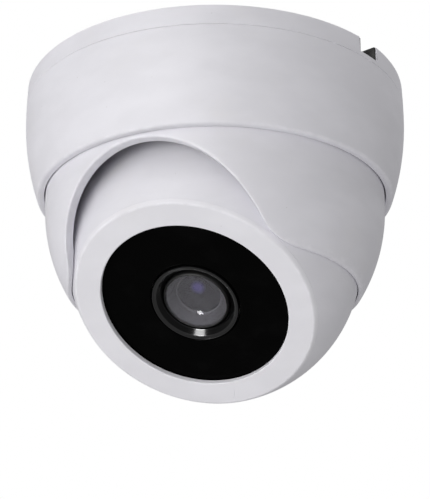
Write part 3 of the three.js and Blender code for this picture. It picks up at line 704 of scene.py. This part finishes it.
def side_radius(depth):
    """The body's bulging side: upright at its widest, curving in above and below."""
    tuck, height = (0.21, SIDE_BULGE) if depth < SIDE_BULGE else (3.49, housing_depth - SIDE_BULGE)
    crown = (height ** 2 + tuck ** 2) / (2 * tuck)
    return housing_radius - (crown - math.sqrt(crown ** 2 - (depth - SIDE_BULGE) ** 2))


def side(start, stop, steps):
    depths = [start + (stop - start) * step / steps for step in range(steps + 1)]
    return [(side_radius(depth), -depth, 0) for depth in depths]


def cable_place():
    return Matrix.Rotation(math.radians(CABLE_ANGLE), 4, "Z")


def base_plate():
    plate = turned("base_plate_moulding", [
        (0, 0, 0),
        (20, 0, 0),
        (side_radius(0), 0, 0.55),
        *side(1.2, RIM_DEPTH - 0.7, 4),
        (side_radius(RIM_DEPTH), -RIM_DEPTH, 0.12),
        (44.6, -RIM_DEPTH, 0),
        (44.6, -RIM_DEPTH - 1.55, 0.2),
        (43.5, -RIM_DEPTH - 1.55, 0.2),
        (43.5, -PLATE, 0.4),
        (20, -PLATE, 0),
        (0, -PLATE, 0),
    ], segments=256)
    size = (NOTCH_WIDTH, 24, NOTCH_DEPTH + 2)
    notch = block("notch", size, (0, -CABLE_DISTANCE - 12, 1 - NOTCH_DEPTH / 2), cable_place(), 0.25)
    hole = rod("hole", 7.0, -6, 2, cable_place(), (0, -CABLE_DISTANCE), 64, 0.0)
    slots = []
    for turn in range(3):
        place = Matrix.Rotation(math.radians(SLOT_TURN + 120 * turn), 4, "Z")
        ends = [rod("slot_end", 1.95, -6, 2, place, (end, SLOT_DISTANCE), 32, 0.0) for end in (-2.55, 2.55)]
        middle = block("slot_middle", (5.1, 3.9, 8), (0, SLOT_DISTANCE, -2), place, 0.001)
        slots.append(combine(middle, ends, "UNION"))
    return cut(plate, notch, hole, *slots)


def base_hooks():
    """Three bayonet hooks that the housing's lugs turn behind."""
    stem = block("stem", (2, 8, 8.7), (0, 0, -6.35), round_by=0.35)
    foot = block("foot", (2.4, 8, 1.5), (0.85, 0, -9.95), round_by=0.35)
    template = combine(stem, [foot], "UNION")
    return ring_of("bayonet_hooks", template, 3, 40.8, "housing_white", BASE, 30.0)


fit(base_plate(), "base", "housing_white", "base_plate")
fit(base_hooks(), "base", "housing_white")

# %% Cable grommet, washer and retaining ring
def cable_grommet():
    """A rubber bush with two walls that line the notch out to the rim."""
    bush = turned("bush", [
        (1.9, -0.3, 0.3), (6.65, -0.3, 0.2), (6.65, -2.85, 0), (8.25, -2.85, 0.3), (8.25, -4.45, 0.5),
        (3.3, -4.45, 0.4), (1.9, -5.95, 0.4),
    ], cable_place(), 96, (0, -CABLE_DISTANCE))
    start, end = CABLE_DISTANCE + 5.5, side_radius(0) - 0.35
    depth = NOTCH_DEPTH - 0.55
    size = (0.55, end - start, depth)
    walls = [block("wall", size, (x, -(start + end) / 2, -0.25 - depth / 2), cable_place(), 0.12)
             for x in (-NOTCH_WIDTH / 2 + 0.45, NOTCH_WIDTH / 2 - 0.45)]
    return gathered("cable_grommet_rubber", [bush, *walls])


fit(cable_grommet(), "base", "rubber", "cable_grommet")

washer = turned("slip_washer_ring", band(40.1, 42.9, -19.85, -19.05))
fit(washer, "base", "nylon", "pan_slip_washer")

retainer = turned("retaining_ring_black", band(39.8, 43.3, -18.7, -17.0, 0.2, 0.4))
fit(retainer, "base", "black_plastic", "pan_retaining_ring")

# %% [markdown]
# ## Housing shell
# The band that the eye reads first: a shallow bulge with one soft edge at the seam above and a rounder one
# below, where it turns in to a ledge that carries the turning cover. Lugs and snap ribs stand inside it.

# %% Housing shell
def housing_shell():
    top = RIM_DEPTH + HAIRLINE
    return turned("housing_moulding", [
        (side_radius(top) - 2.0, -top, 0.25),
        (side_radius(top), -top, 0.12),
        *side(top + 0.9, housing_depth - 1.3, 24),
        (side_radius(housing_depth), -housing_depth, 0.75),
        (opening_radius - 0.5, -housing_depth, 0.3),
        (opening_radius - 0.5, -housing_depth + 1.2, 0.3),
        (opening_radius, -housing_depth + 2.0, 0.3),
        (opening_radius, -22.25, 0.2),
        (flange_radius + SEAM, -22.25, 0),
        (flange_radius + SEAM, -20.2, 0),
        (side_radius(14.1) - 2.0, -14.1, 0),
    ], segments=256)


def housing_ribs():
    lugs = ring_of("lugs", block("lug", (2.6, 10, 1.0), (0, 0, -8.4)), 3, 44.0, "housing_white", BASE, 30.0)
    snaps = ring_of("snaps", block("snap", (1.9, 6, 1.2), (0, 0, -16.1)), 6, 43.9, "housing_white", BASE, 0.0)
    return gathered("housing_ribs", [lugs, snaps])


fit(housing_shell(), "base", "housing_white", "housing_shell")
fit(housing_ribs(), "base", "housing_white")

# %% [markdown]
# ## Turning cover
# A thin dome with a scoop, through which the eyeball looks. The scoop is a level cylinder cut through the
# dome, with a soft corner on each side. Cutting a dome with a boolean leaves ragged shading along the lip,
# so the surface is laid out instead: each column of points runs down the outside to the lip, round it and
# up the inside, and the columns follow the edge all the way round. The lip then has a true rounded edge.

# %% The cover's edge and walls
COVER = 41.5              # outside radius
COVER_WALL = 2.7
BALL = 35.5
cover_centre = ball_depth - 11.9
scoop_axis = ball_depth + 12.4
SCOOP = 26.0
SCOOP_CORNER = 5.0
collar_top = 21.9


def outer_radius(depth):
    below = max(0.0, depth - cover_centre)
    return math.sqrt(COVER ** 2 - below ** 2)


def inner_radius(depth):
    """The inside follows the outside, but never comes nearer to the ball than a running gap."""
    below = max(0.0, depth - cover_centre)
    plain = math.sqrt((COVER - COVER_WALL) ** 2 - below ** 2)
    clear = math.sqrt(max(0.0, (BALL + RUNNING_GAP) ** 2 - (depth - ball_depth) ** 2))
    return max(plain, clear) if depth > ball_depth else plain


def azimuth(across, radius):
    return math.asin(min(1.0, across / radius))


def edge_point(across, depth):
    return (azimuth(across, outer_radius(depth)), azimuth(across, inner_radius(depth)), depth)


def cover_edge_points(arch_steps=64, corner_steps=20, level_steps=110):
    """Half of the lip, from the top of the scoop to the back: (outer azimuth, inner azimuth, depth)."""
    drop = scoop_axis - cover_edge
    lean = math.asin((SCOOP_CORNER + drop) / (SCOOP + SCOOP_CORNER))
    corner_x = (SCOOP + SCOOP_CORNER) * math.cos(lean)
    points = []
    for step in range(arch_steps):
        angle = math.pi / 2 + (lean - math.pi / 2) * step / arch_steps
        points.append(edge_point(SCOOP * math.cos(angle), scoop_axis - SCOOP * math.sin(angle)))
    for step in range(corner_steps):
        angle = math.pi + lean + (math.pi / 2 - lean) * step / corner_steps
        across = corner_x + SCOOP_CORNER * math.cos(angle)
        points.append(edge_point(across, cover_edge - SCOOP_CORNER - SCOOP_CORNER * math.sin(angle)))
    outer_start, inner_start = edge_point(corner_x, cover_edge)[:2]
    for step in range(level_steps + 1):
        share = (step / level_steps) ** 1.15
        outer = outer_start + (math.pi - outer_start) * share
        inner = inner_start + (math.pi - inner_start) * share
        points.append((outer, inner, cover_edge))
    return points


def on_wall(angle, radius, depth):
    return Vector((radius * math.sin(angle), -radius * math.cos(angle), -depth))


# %% Turning cover
def sideways(frame_matrix):
    """Two places whose upright axis points along the tilt axis, one for each side."""
    return [frame_matrix @ Matrix.Rotation(side_sign * math.pi / 2, 4, "Y") for side_sign in (-1, 1)]


def lip_points(outer, inner, depth, slope):
    """The rounded lip between the outer and the inner wall at one column."""
    soft, hard = 0.55, 0.3
    rise = soft / max(0.4, slope)
    start = on_wall(outer, outer_radius(depth - rise), depth - rise)
    corner = on_wall(outer, outer_radius(depth), depth)
    other = on_wall(inner, inner_radius(depth), depth)
    width = (other - corner).length
    into = (other - corner) / width
    soft_end = corner + into * min(soft, width * 0.45)
    hard_start = other - into * min(hard, width * 0.3)
    hard_rise = hard / max(0.4, slope)
    hard_end = on_wall(inner, inner_radius(depth - hard_rise), depth - hard_rise)
    points = bend(start, corner, soft_end, 5) + bend(hard_start, other, hard_end, 3)
    return points, rise, hard_rise


def cover_column(outer, inner, depth, slope):
    lip, rise, hard_rise = lip_points(outer, inner, depth, slope)
    flange = [(COVER - COVER_WALL, 20.35), (COVER - COVER_WALL + 0.15, 20.2), (flange_radius - 0.2, 20.2),
              (flange_radius, 20.4), (flange_radius, collar_top - 0.2), (flange_radius - 0.2, collar_top),
              (COVER, collar_top)]
    column = [(on_wall(outer, radius, down), 0.0) for radius, down in flange]
    first = collar_top + 0.3
    outside = [first + (depth - rise - first) * (step / 26) ** 0.9 for step in range(26)]
    column += [(on_wall(outer, outer_radius(down), down), 0.0) for down in outside]
    column += [(point, 1.0) for point in lip]
    inside = [depth - hard_rise + (21.0 - depth + hard_rise) * step / 14 for step in range(1, 15)]
    column += [(on_wall(inner, inner_radius(down), down), 0.0) for down in inside]
    return column


def turret_cover():
    half = cover_edge_points()
    other_half = [(2 * math.pi - outer, 2 * math.pi - inner, depth) for outer, inner, depth in half[:0:-1]]
    columns = half[:-1] + other_half
    verts, lips = [], []
    count = len(columns)
    for i, (outer, inner, depth) in enumerate(columns):
        ahead, behind = columns[(i + 1) % count], columns[i - 1]
        swing = (ahead[0] - behind[0] + math.pi) % (2 * math.pi) - math.pi
        run, fall = swing * outer_radius(depth), ahead[2] - behind[2]
        slope = abs(run) / math.hypot(run, fall)
        for point, lip in cover_column(outer, inner, depth, slope):
            verts.append(TURRET @ (point * MM))
            lips.append(lip)
    faces = joined_columns(count, len(verts) // count)
    cover = new_piece("turret_cover_moulding", verts, faces, lips, 50.0)
    at_ball = TURRET @ Matrix.Translation((0, 0, ball_centre.z))
    pins = [rod("pin", 2.5, 32.5, 38.6, place, segments=40, edge=0.3) for place in sideways(at_ball)]
    return gathered("turret_cover_moulding", [cover, *pins])


fit(turret_cover(), "turret", "housing_white", "turret_cover")

# %% [markdown]
# ## The eyeball's two shells
# The front shell is the white ball that shows in the scoop. It is turned about the lens axis, with sockets
# for the cover's pins. The rear shell closes it, and its seam shows only when the camera looks up.

# %% Ball shells
FACE = 20.65              # the face's plane, from the ball's centre along the lens axis
BALL_WALL = 2.0
shell_seam = -6.0
bezel_back = FACE - 0.9
shell_front = bezel_back - 0.04   # the bezel turns here, and its joint hardly shows
neck = math.sqrt(BALL ** 2 - shell_front ** 2) - 2.3
boss_distance = BALL - BALL_WALL - 2.3


def ball_front():
    inner = BALL - BALL_WALL
    inner_top = math.sqrt(inner ** 2 - neck ** 2)
    shell = turned("ball_front_moulding", [
        (math.sqrt(BALL ** 2 - shell_seam ** 2), shell_seam, 0.25),
        *arc((0, 0), BALL, sphere_angle(BALL, shell_seam + 0.7), sphere_angle(BALL, shell_front), 40),
        (neck, shell_front, 0.3),
        *arc((0, 0), inner, sphere_angle(inner, inner_top - 0.6), sphere_angle(inner, shell_seam + 0.5), 24),
        (math.sqrt(inner ** 2 - shell_seam ** 2), shell_seam, 0.2),
    ], EYEBALL, 256)
    sockets = [rod("socket", 4.45, 32.15, 40, place, segments=48, edge=0.0) for place in sideways(EYEBALL)]
    return cut(shell, *sockets)


def ball_rear():
    inner = BALL - BALL_WALL
    seam = shell_seam - SEAM
    shell = turned("ball_rear_moulding", [
        (1.9, -math.sqrt(BALL ** 2 - 1.9 ** 2), 0.3),
        *arc((0, 0), BALL, sphere_angle(BALL, -35.3), sphere_angle(BALL, seam - 0.7), 36),
        (math.sqrt(BALL ** 2 - seam ** 2), seam, 0.25),
        (math.sqrt(inner ** 2 - seam ** 2), seam, 0.2),
        *arc((0, 0), inner, sphere_angle(inner, seam - 0.6), sphere_angle(inner, -33.3), 24),
        (1.9, -math.sqrt(inner ** 2 - 1.9 ** 2), 0.3),
    ], EYEBALL, 256)
    wells = []
    for turn in range(3):
        angle = math.radians(90 + 120 * turn)
        spot = (boss_distance * math.cos(angle), boss_distance * math.sin(angle))
        wells.append(rod("well", 2.1, -40, seam - 2.2, EYEBALL, spot, 40, 0.0))
    return cut(shell, *wells)


fit(ball_front(), "eyeball", "ball_white", "ball_front_shell")
fit(ball_rear(), "eyeball", "ball_white", "ball_rear_shell")


# %% [markdown]
# ## Screws
# Every screw here is the same pan head with a cross recess, turned once and cut with two crossed blades. The
# ring tree copies it, so that the three rings of screws differ only in their numbers.

# %% Screws
def cross_screw(seat, tip, head_radius, head_height, downwards=True):
    """A pan-head screw about the origin. The head lies below the seat, or above it."""
    way = -1 if downwards else 1
    body = turned("screw", [
        (0, seat + way * head_height, 0),
        (head_radius * 0.55, seat + way * head_height, 0),
        (head_radius, seat + way * head_height * 0.55, 0.25),
        (head_radius, seat, 0.1),
        (0.9, seat, 0.1),
        (0.9, tip, 0.3),
        (0, tip, 0),
    ], segments=40)
    top = seat + way * head_height
    blades = []
    for turn in (0, 1):
        size = (head_radius * 1.15, head_radius * 0.28, head_height * 1.2)
        place = Matrix.Rotation(turn * math.pi / 2, 4, "Z")
        blades.append(block("blade", size, (0, 0, top), place, 0.03))
    return cut(body, *blades)


shell_screws = ring_of("ball_screws", cross_screw(-8.85, 2.0, 1.8, 1.3), 3, boss_distance, "steel", start=90)
fit(shell_screws, "eyeball", "steel", "ball_screw_1", "ball_screw_2", "ball_screw_3")

# %% Friction bushes
def tilt_bushes():
    corners = band(2.85, 4.15, 32.45, 35.05, 0.2, 0.3)
    rings = [turned("bush", corners, place, 64) for place in sideways(EYEBALL)]
    return gathered("tilt_bushes_rubber", rings)


fit(tilt_bushes(), "eyeball", "rubber", "tilt_bush_left", "tilt_bush_right")

# %% [markdown]
# ## The face
# A flat white ring with a soft outer edge, the polished window set a little back behind its lip, and in the
# middle the glossy rim that keeps the LEDs' light off the lens.

# %% Bezel ring and window
WINDOW_INNER = 22.7
window_front = FACE - 1.6
window_back = window_front - 2.0


def bezel():
    edge = math.sqrt(BALL ** 2 - FACE ** 2)
    ring = turned("bezel_moulding", [
        (WINDOW_INNER, window_front + 0.3, 0.1),
        (WINDOW_INNER, FACE, 0.28),
        (edge - 0.15, FACE, 0.6),
        *arc((0, 0), BALL, sphere_angle(BALL, FACE - 0.45), sphere_angle(BALL, bezel_back), 4),
        (27.0, bezel_back, 0),
        (27.0, window_back - 0.3, 0.3),
        (24.6, window_back - 0.3, 0.2),
        (24.6, window_front + 0.3, 0),
    ], EYEBALL, 256)
    slant = EYEBALL @ Matrix.Translation(Vector((0.45, -26.4, 0)) * MM)
    slant = slant @ Matrix.Rotation(math.radians(-26), 4, "Z")
    groove = block("groove", (0.2, 3.4, 2.4), (0, 0, FACE + 1.08), slant, 0.02)
    return cut(ring, groove)


def face_window():
    return turned("window_pane", [
        (10.9, window_back, 0.1), (24.2, window_back, 0.2), (24.2, window_front, 0.2),
        (10.9, window_front, 0.25),
    ], EYEBALL, 256)


fit(bezel(), "optics", "bezel_white", "bezel_ring")
fit(face_window(), "optics", "window_black", "face_window")

# %% [markdown]
# ## Lens
# Round the lens stands a funnel-shaped rim. Inside it sits the lens barrel with its front glass, and behind the
# glass lie a dark grey cone and a dark element, on which the violet gleam of its coating is painted as a
# reflection.

# %% Rim and barrel
HEAD_TOP = 18.6


def lens_rim():
    """A rim with a rounded lip and a polished cone down to the barrel."""
    return turned("lens_rim", [
        (8.35, 12.2, 0.2), (10.0, 12.2, 0.2), (10.5, window_back - 0.6, 0.1), (10.5, 19.5, 0.5),
        (9.75, 19.35, 0.35), (8.35, 17.95, 0.2),
    ], EYEBALL, 192)


def lens_barrel():
    return turned("lens_barrel_black", [
        (4.9, 4.6, 0.1), (5.9, 4.6, 0.2), (5.9, 14.5, 0.1), (7.9, 14.5, 0.2), (7.9, HEAD_TOP - 0.35, 0.3),
        (7.5, HEAD_TOP, 0.1), (7.42, HEAD_TOP - 0.2, 0), (7.42, 14.9, 0), (4.9, 14.9, 0),
    ], EYEBALL, 160)


fit(lens_rim(), "optics", "shroud_black", "light_shroud")
fit(lens_barrel(), "optics", "black_plastic", "lens_barrel")


# %% Front glass and what lies behind it
def cap(radius, rim_height, rise, steps=16):
    """Corners of a spherical cap from its rim to the lens axis."""
    sphere = (radius ** 2 + rise ** 2) / (2 * rise)
    start = math.degrees(math.acos(radius / sphere))
    return arc((0, rim_height + rise - sphere), sphere, start, 90, steps)


def front_glass():
    front = cap(7.38, HEAD_TOP - 0.2, 0.85, 20)
    back = cap(7.38, HEAD_TOP - 0.65, 0.80, 14)
    return turned("front_glass_dome", front + back[::-1], EYEBALL, 128)


def light_baffle():
    """The grey cone between the front glass and the second element."""
    return turned("light_baffle", [
        (7.36, 17.9, 0), (5.35, 15.4, 0.25), (5.2, 14.95, 0), (7.36, 14.95, 0),
    ], EYEBALL, 128)


def spread_mark(piece, radius_mm, across, up):
    """Marks each point with its distance from a spot on the lens, as a share of a radius."""
    mark = piece.data.attributes.new("spread", "FLOAT", "POINT")
    back = EYEBALL.inverted()
    for vertex, value in zip(piece.data.vertices, mark.data):
        local = back @ vertex.co / MM
        value.value = math.hypot(local.x - across, local.y - up) / radius_mm
    return piece


def inner_element():
    front = cap(5.15, 15.1, 0.7, 24)
    piece = turned("inner_lens_element", [*front, (0, 14.95, 0), (5.15, 14.95, 0)], EYEBALL, 128)
    # the painted reflections on this element are centred on this spot
    return spread_mark(piece, 5.15, 0.6, 2.0)


fit(front_glass(), "optics", "lens_glass", "lens_front_glass")
fit(light_baffle(), "optics", "black_plastic", finish=baffle_grey())
fit(inner_element(), "optics", "lens_glass", finish=inner_lens())

# %% [markdown]
# ## Behind the window
# The infrared board carries its LEDs in a ring of thirteen places, and the first place holds the light sensor
# instead. The LED is a smoked dome on a collar.

# %% LEDs and light sensor
LED_BASE = 11.9
LED_PLACES = 13
LED_RING = 16.6


def led_template():
    shoulder = LED_BASE + 4.8 - 2.5
    return turned("led", [
        (0, LED_BASE, 0), (2.85, LED_BASE, 0.1), (2.85, LED_BASE + 0.9, 0.2), (2.5, LED_BASE + 0.9, 0),
        *arc((0, shoulder), 2.5, 0, 90, 8),
    ], segments=32)


led_names = [f"infrared_led_{number:02d}" for number in range(1, LED_PLACES)]
leds = ring_of("infrared_leds", led_template(), LED_PLACES, LED_RING, "led_epoxy", start=90, skip_first=1)
fit(leds, "optics", "led_epoxy", *led_names)

eye = turned("light_sensor_cell", [
    (0, LED_BASE, 0), (1.9, LED_BASE, 0.1), (1.9, LED_BASE + 1.8, 0.2), (1.5, LED_BASE + 2.4, 0.2),
    (0, LED_BASE + 2.4, 0),
], EYEBALL, 48, (0, LED_RING))
fit(eye, "optics", "sensor", "light_sensor")

# %% Boards
def board(name, radius, hole, bottom):
    return turned(name, band(hole, radius, bottom, bottom + 1.6, 0.05, 0.05), EYEBALL, 128)


fit(board("infrared_board", 21.2, 11.4, 10.0), "optics", "led_board", "led_board")
main = rod("main_board_disc", 26.6, -3.0, -1.4, EYEBALL, segments=128, edge=0.05)
fit(main, "optics", "main_board", "main_board")


# %% [markdown]
# ## Small parts on the boards
# Chip resistors and capacitors lie scattered on the main board. A tree drops points on a flat ring with a fixed
# seed, keeps them apart, turns each to one of four directions and puts a small block there.

# %% Scattered chips
CHIPS_PER_SQUARE_METRE = 400000.0


def chip_tree():
    tree = Tree("scattered_chips", {"Field Radius": "Float", "Height": "Float", "Chip Size": "Vector",
                                    "Spacing": "Float", "Seed": "Int", "Keep Out": "Float"})
    given = tree.given
    field = tree.node("MeshCircle", {"Radius": given["Field Radius"]}, fill_type="NGON")
    lift = tree.node("ShaderNodeCombineXYZ", {"Z": given["Height"]})
    raised = tree.node("Transform", {"Geometry": field, "Translation": lift})
    sown = {"Mesh": raised, "Distance Min": given["Spacing"], "Density Max": CHIPS_PER_SQUARE_METRE,
            "Seed": given["Seed"]}
    drop = tree.node("DistributePointsOnFaces", sown, "Points", distribute_method="POISSON")
    spot = tree.node("InputPosition")
    flat = tree.node("ShaderNodeVectorMath", {0: spot, 1: (1, 1, 0)}, operation="MULTIPLY")
    away = tree.node("ShaderNodeVectorMath", {0: flat}, "Value", operation="LENGTH")
    clear = tree.node("FunctionNodeCompare", {0: away, 1: given["Keep Out"]}, operation="GREATER_THAN")
    quarter = tree.node("FunctionNodeRandomValue", {"Min": 0, "Max": 3, "Seed": given["Seed"]}, 2,
                        data_type="INT")
    turn = tree.node("ShaderNodeMath", {0: quarter, 1: math.pi / 2}, operation="MULTIPLY")
    rotation = tree.node("ShaderNodeCombineXYZ", {"Z": turn})
    chip = tree.node("MeshCube", {"Size": given["Chip Size"]})
    copies = tree.node("InstanceOnPoints", {"Points": drop, "Selection": clear, "Instance": chip,
                                            "Rotation": rotation})
    return tree.close(copies)


CHIP_TREE = chip_tree()


def chips(name, field_mm, keep_out_mm, height_mm, spacing_mm, seed):
    values = {"Finish": finishes["chip_black"], "Field Radius": field_mm * MM, "Height": height_mm * MM,
              "Chip Size": (1.6 * MM, 0.8 * MM, 0.5 * MM), "Spacing": spacing_mm * MM, "Seed": seed,
              "Keep Out": keep_out_mm * MM}
    return run_tree(name, CHIP_TREE, values, EYEBALL)


fit(chips("main_board_chips", 21.0, 13.2, -1.12, 3.0, 7), "optics", "chip_black")

# %% Board screws
post_angles = [(gap + 0.5) * 360 / LED_PLACES + 90 for gap in (1, 5, 10)]


def screws_at(name, distance, make):
    """The posts are not evenly spaced, so each screw is a ring of one."""
    rings = [ring_of("one", make(), 1, distance, "steel", start=angle) for angle in post_angles]
    return gathered(name, rings)


board_screws = screws_at("board_screws", 24.3, lambda: cross_screw(-3.3, 3.1, 1.8, 1.3))
fit(board_screws, "optics", "steel", "board_screw_1", "board_screw_2", "board_screw_3")
led_screws = screws_at("led_screws", 19.3, lambda: cross_screw(11.9, 7.4, 1.3, 1.0, False))
fit(led_screws, "optics", "steel", "led_screw_1", "led_screw_2", "led_screw_3")

# %% [markdown]
# ## O-ring by rule
# The window's gasket is a cord of rubber bent to a circle. Curve to Mesh sweeps a small circle along a big
# one, which is exactly what the real part is.

# %% Window gasket
def gasket_tree():
    tree = Tree("swept_ring", {"Ring Radius": "Float", "Cord Radius": "Float"})
    path = tree.node("CurvePrimitiveCircle", {"Resolution": 160, "Radius": tree.given["Ring Radius"]})
    section = tree.node("CurvePrimitiveCircle", {"Resolution": 16, "Radius": tree.given["Cord Radius"]})
    return tree.close(tree.node("CurveToMesh", {"Curve": path, "Profile Curve": section}))


def window_gasket():
    values = {"Finish": finishes["rubber"], "Ring Radius": 23.4 * MM, "Cord Radius": 0.48 * MM}
    ring = run_tree("window_o_ring", gasket_tree(), values, EYEBALL @ Matrix.Translation((0, 0, 16.25 * MM)))
    tidy(ring.data, 60)
    return ring


fit(window_gasket(), "optics", "rubber", "window_gasket")

# %% [markdown]
# ## What stays as it came
# The pieces deep inside are right as plain solids. Each gets the finish of its own slot, so nothing is left
# in a single flat colour.

# %% Paint the remaining nodes
slots = {part["node"]: part["material_slot"] for part in frame["record"]["subparts"]}
kept = ["module_frame", "lens_rear_glass", "lens_lock_ring", "lens_holder", "filter_motor", "image_sensor",
        "processor_chip", "cable_connector", "filter_frame", "cut_filter_glass", "clear_filter_glass"]
for node in kept:
    solid = frame["nodes"][node]
    solid.data.materials.clear()
    solid.data.materials.append(finishes[slots[node]])
print("nodes painted as they came:", len(kept))

# %% [markdown]
# ## Floor, light and camera
# The camera hangs from a ceiling, so the floor lies well below. Large soft lights stand to the left, in
# front and above, which lets the right side fall off to grey, and lights that show only in glossy surfaces
# put the gleams into the lens. The floor glows a little so that it stays pale from every side, and it's
# hidden from the light that bounces, so that it doesn't brighten the case from below.

# %% Stage
FLOOR_DEPTH = 0.62
WHITE_ROOM = 1.0
ROOM_LIGHT = 0.36
FLOOR_GLOW = 0.45
PALE = (0.96, 0.96, 0.98)


def floor():
    size = 30.0
    corners = [(-size, -size), (size, -size), (size, size), (-size, size)]
    piece = new_piece("floor", [(x, y, -FLOOR_DEPTH) for x, y in corners], [(0, 1, 2, 3)])
    paint = Paint("floor_pale")
    cloud = paint.noise(400.0, 3.0)
    tone = paint.mixed((0.80, 0.80, 0.81), (0.85, 0.85, 0.86), cloud)
    pale = paint.finish(colour=tone, rough=0.9, gloss=0.1, glow=FLOOR_GLOW, glow_colour=PALE)
    piece.data.materials.append(pale)
    piece.visible_diffuse = False
    piece.visible_glossy = False


def room():
    """White where the camera sees past the object, and a softer grey where it lights it."""
    world = bpy.data.worlds.new("room")
    bpy.context.scene.world = world
    world.use_nodes = True
    nodes, links = world.node_tree.nodes, world.node_tree.links
    background = nodes["Background"]
    background.inputs["Color"].default_value = (1.0, 1.0, 1.0, 1.0)
    path = nodes.new("ShaderNodeLightPath")
    level = nodes.new("ShaderNodeMapRange")
    level.inputs["To Min"].default_value = ROOM_LIGHT
    level.inputs["To Max"].default_value = WHITE_ROOM
    links.new(path.outputs["Is Camera Ray"], level.inputs["Value"])
    links.new(level.outputs[0], background.inputs["Strength"])


def soft_light(name, place, size, power, gleam=False):
    """A square light that looks at the ball. It either lights surfaces or only shows in glossy ones."""
    light = bpy.data.lights.new(name, "AREA")
    light.shape = "SQUARE"
    light.size = size
    light.energy = power
    lamp = in_scene(name, light)
    lamp.location = place
    lamp.rotation_euler = (ball_centre - Vector(place)).to_track_quat("-Z", "Y").to_euler()
    lamp.visible_camera = False
    lamp.visible_diffuse = not gleam
    lamp.visible_glossy = gleam


floor()
room()
soft_light("key_left", (-0.80, -0.46, -0.28), 0.7, 3.0)
soft_light("front", (-0.30, -0.80, -0.36), 0.40, 3.0)
soft_light("top", (0.10, 0.25, 0.90), 0.9, 11.0)
soft_light("rim_right", (0.62, 0.22, -0.46), 0.35, 0.5)
soft_light("gleam_front", (-0.385, -0.70, -0.035), 0.28, 11.0, gleam=True)
soft_light("gleam_low", (-0.188, 0.16, -0.59), 0.035, 0.028, gleam=True)
soft_light("gleam_top", (-0.35, -0.62, 0.42), 0.14, 4.0, gleam=True)

# %% Camera
PITCH = math.radians(22.8)
DISTANCE = 0.45
AIM = Vector((0, 0, -0.0412))
FOCAL_LENGTH = 133.6      # mm on a 36 mm frame


def camera():
    data = bpy.data.cameras.new("view")
    data.lens = FOCAL_LENGTH
    data.sensor_width = 36.0
    data.clip_start = 0.01
    view = in_scene("view", data)
    view.location = AIM + Vector((0, -math.cos(PITCH), -math.sin(PITCH))) * DISTANCE
    view.rotation_euler = (AIM - view.location).to_track_quat("-Z", "Y").to_euler()
    bpy.context.scene.camera = view


camera()
bpy.context.scene.view_settings.view_transform = "Standard"

# %% Last update, and a helper that rounds a box's corners
bpy.context.view_layer.update()


def plain(box):
    return [[round(float(value), 6) for value in corner] for corner in box]
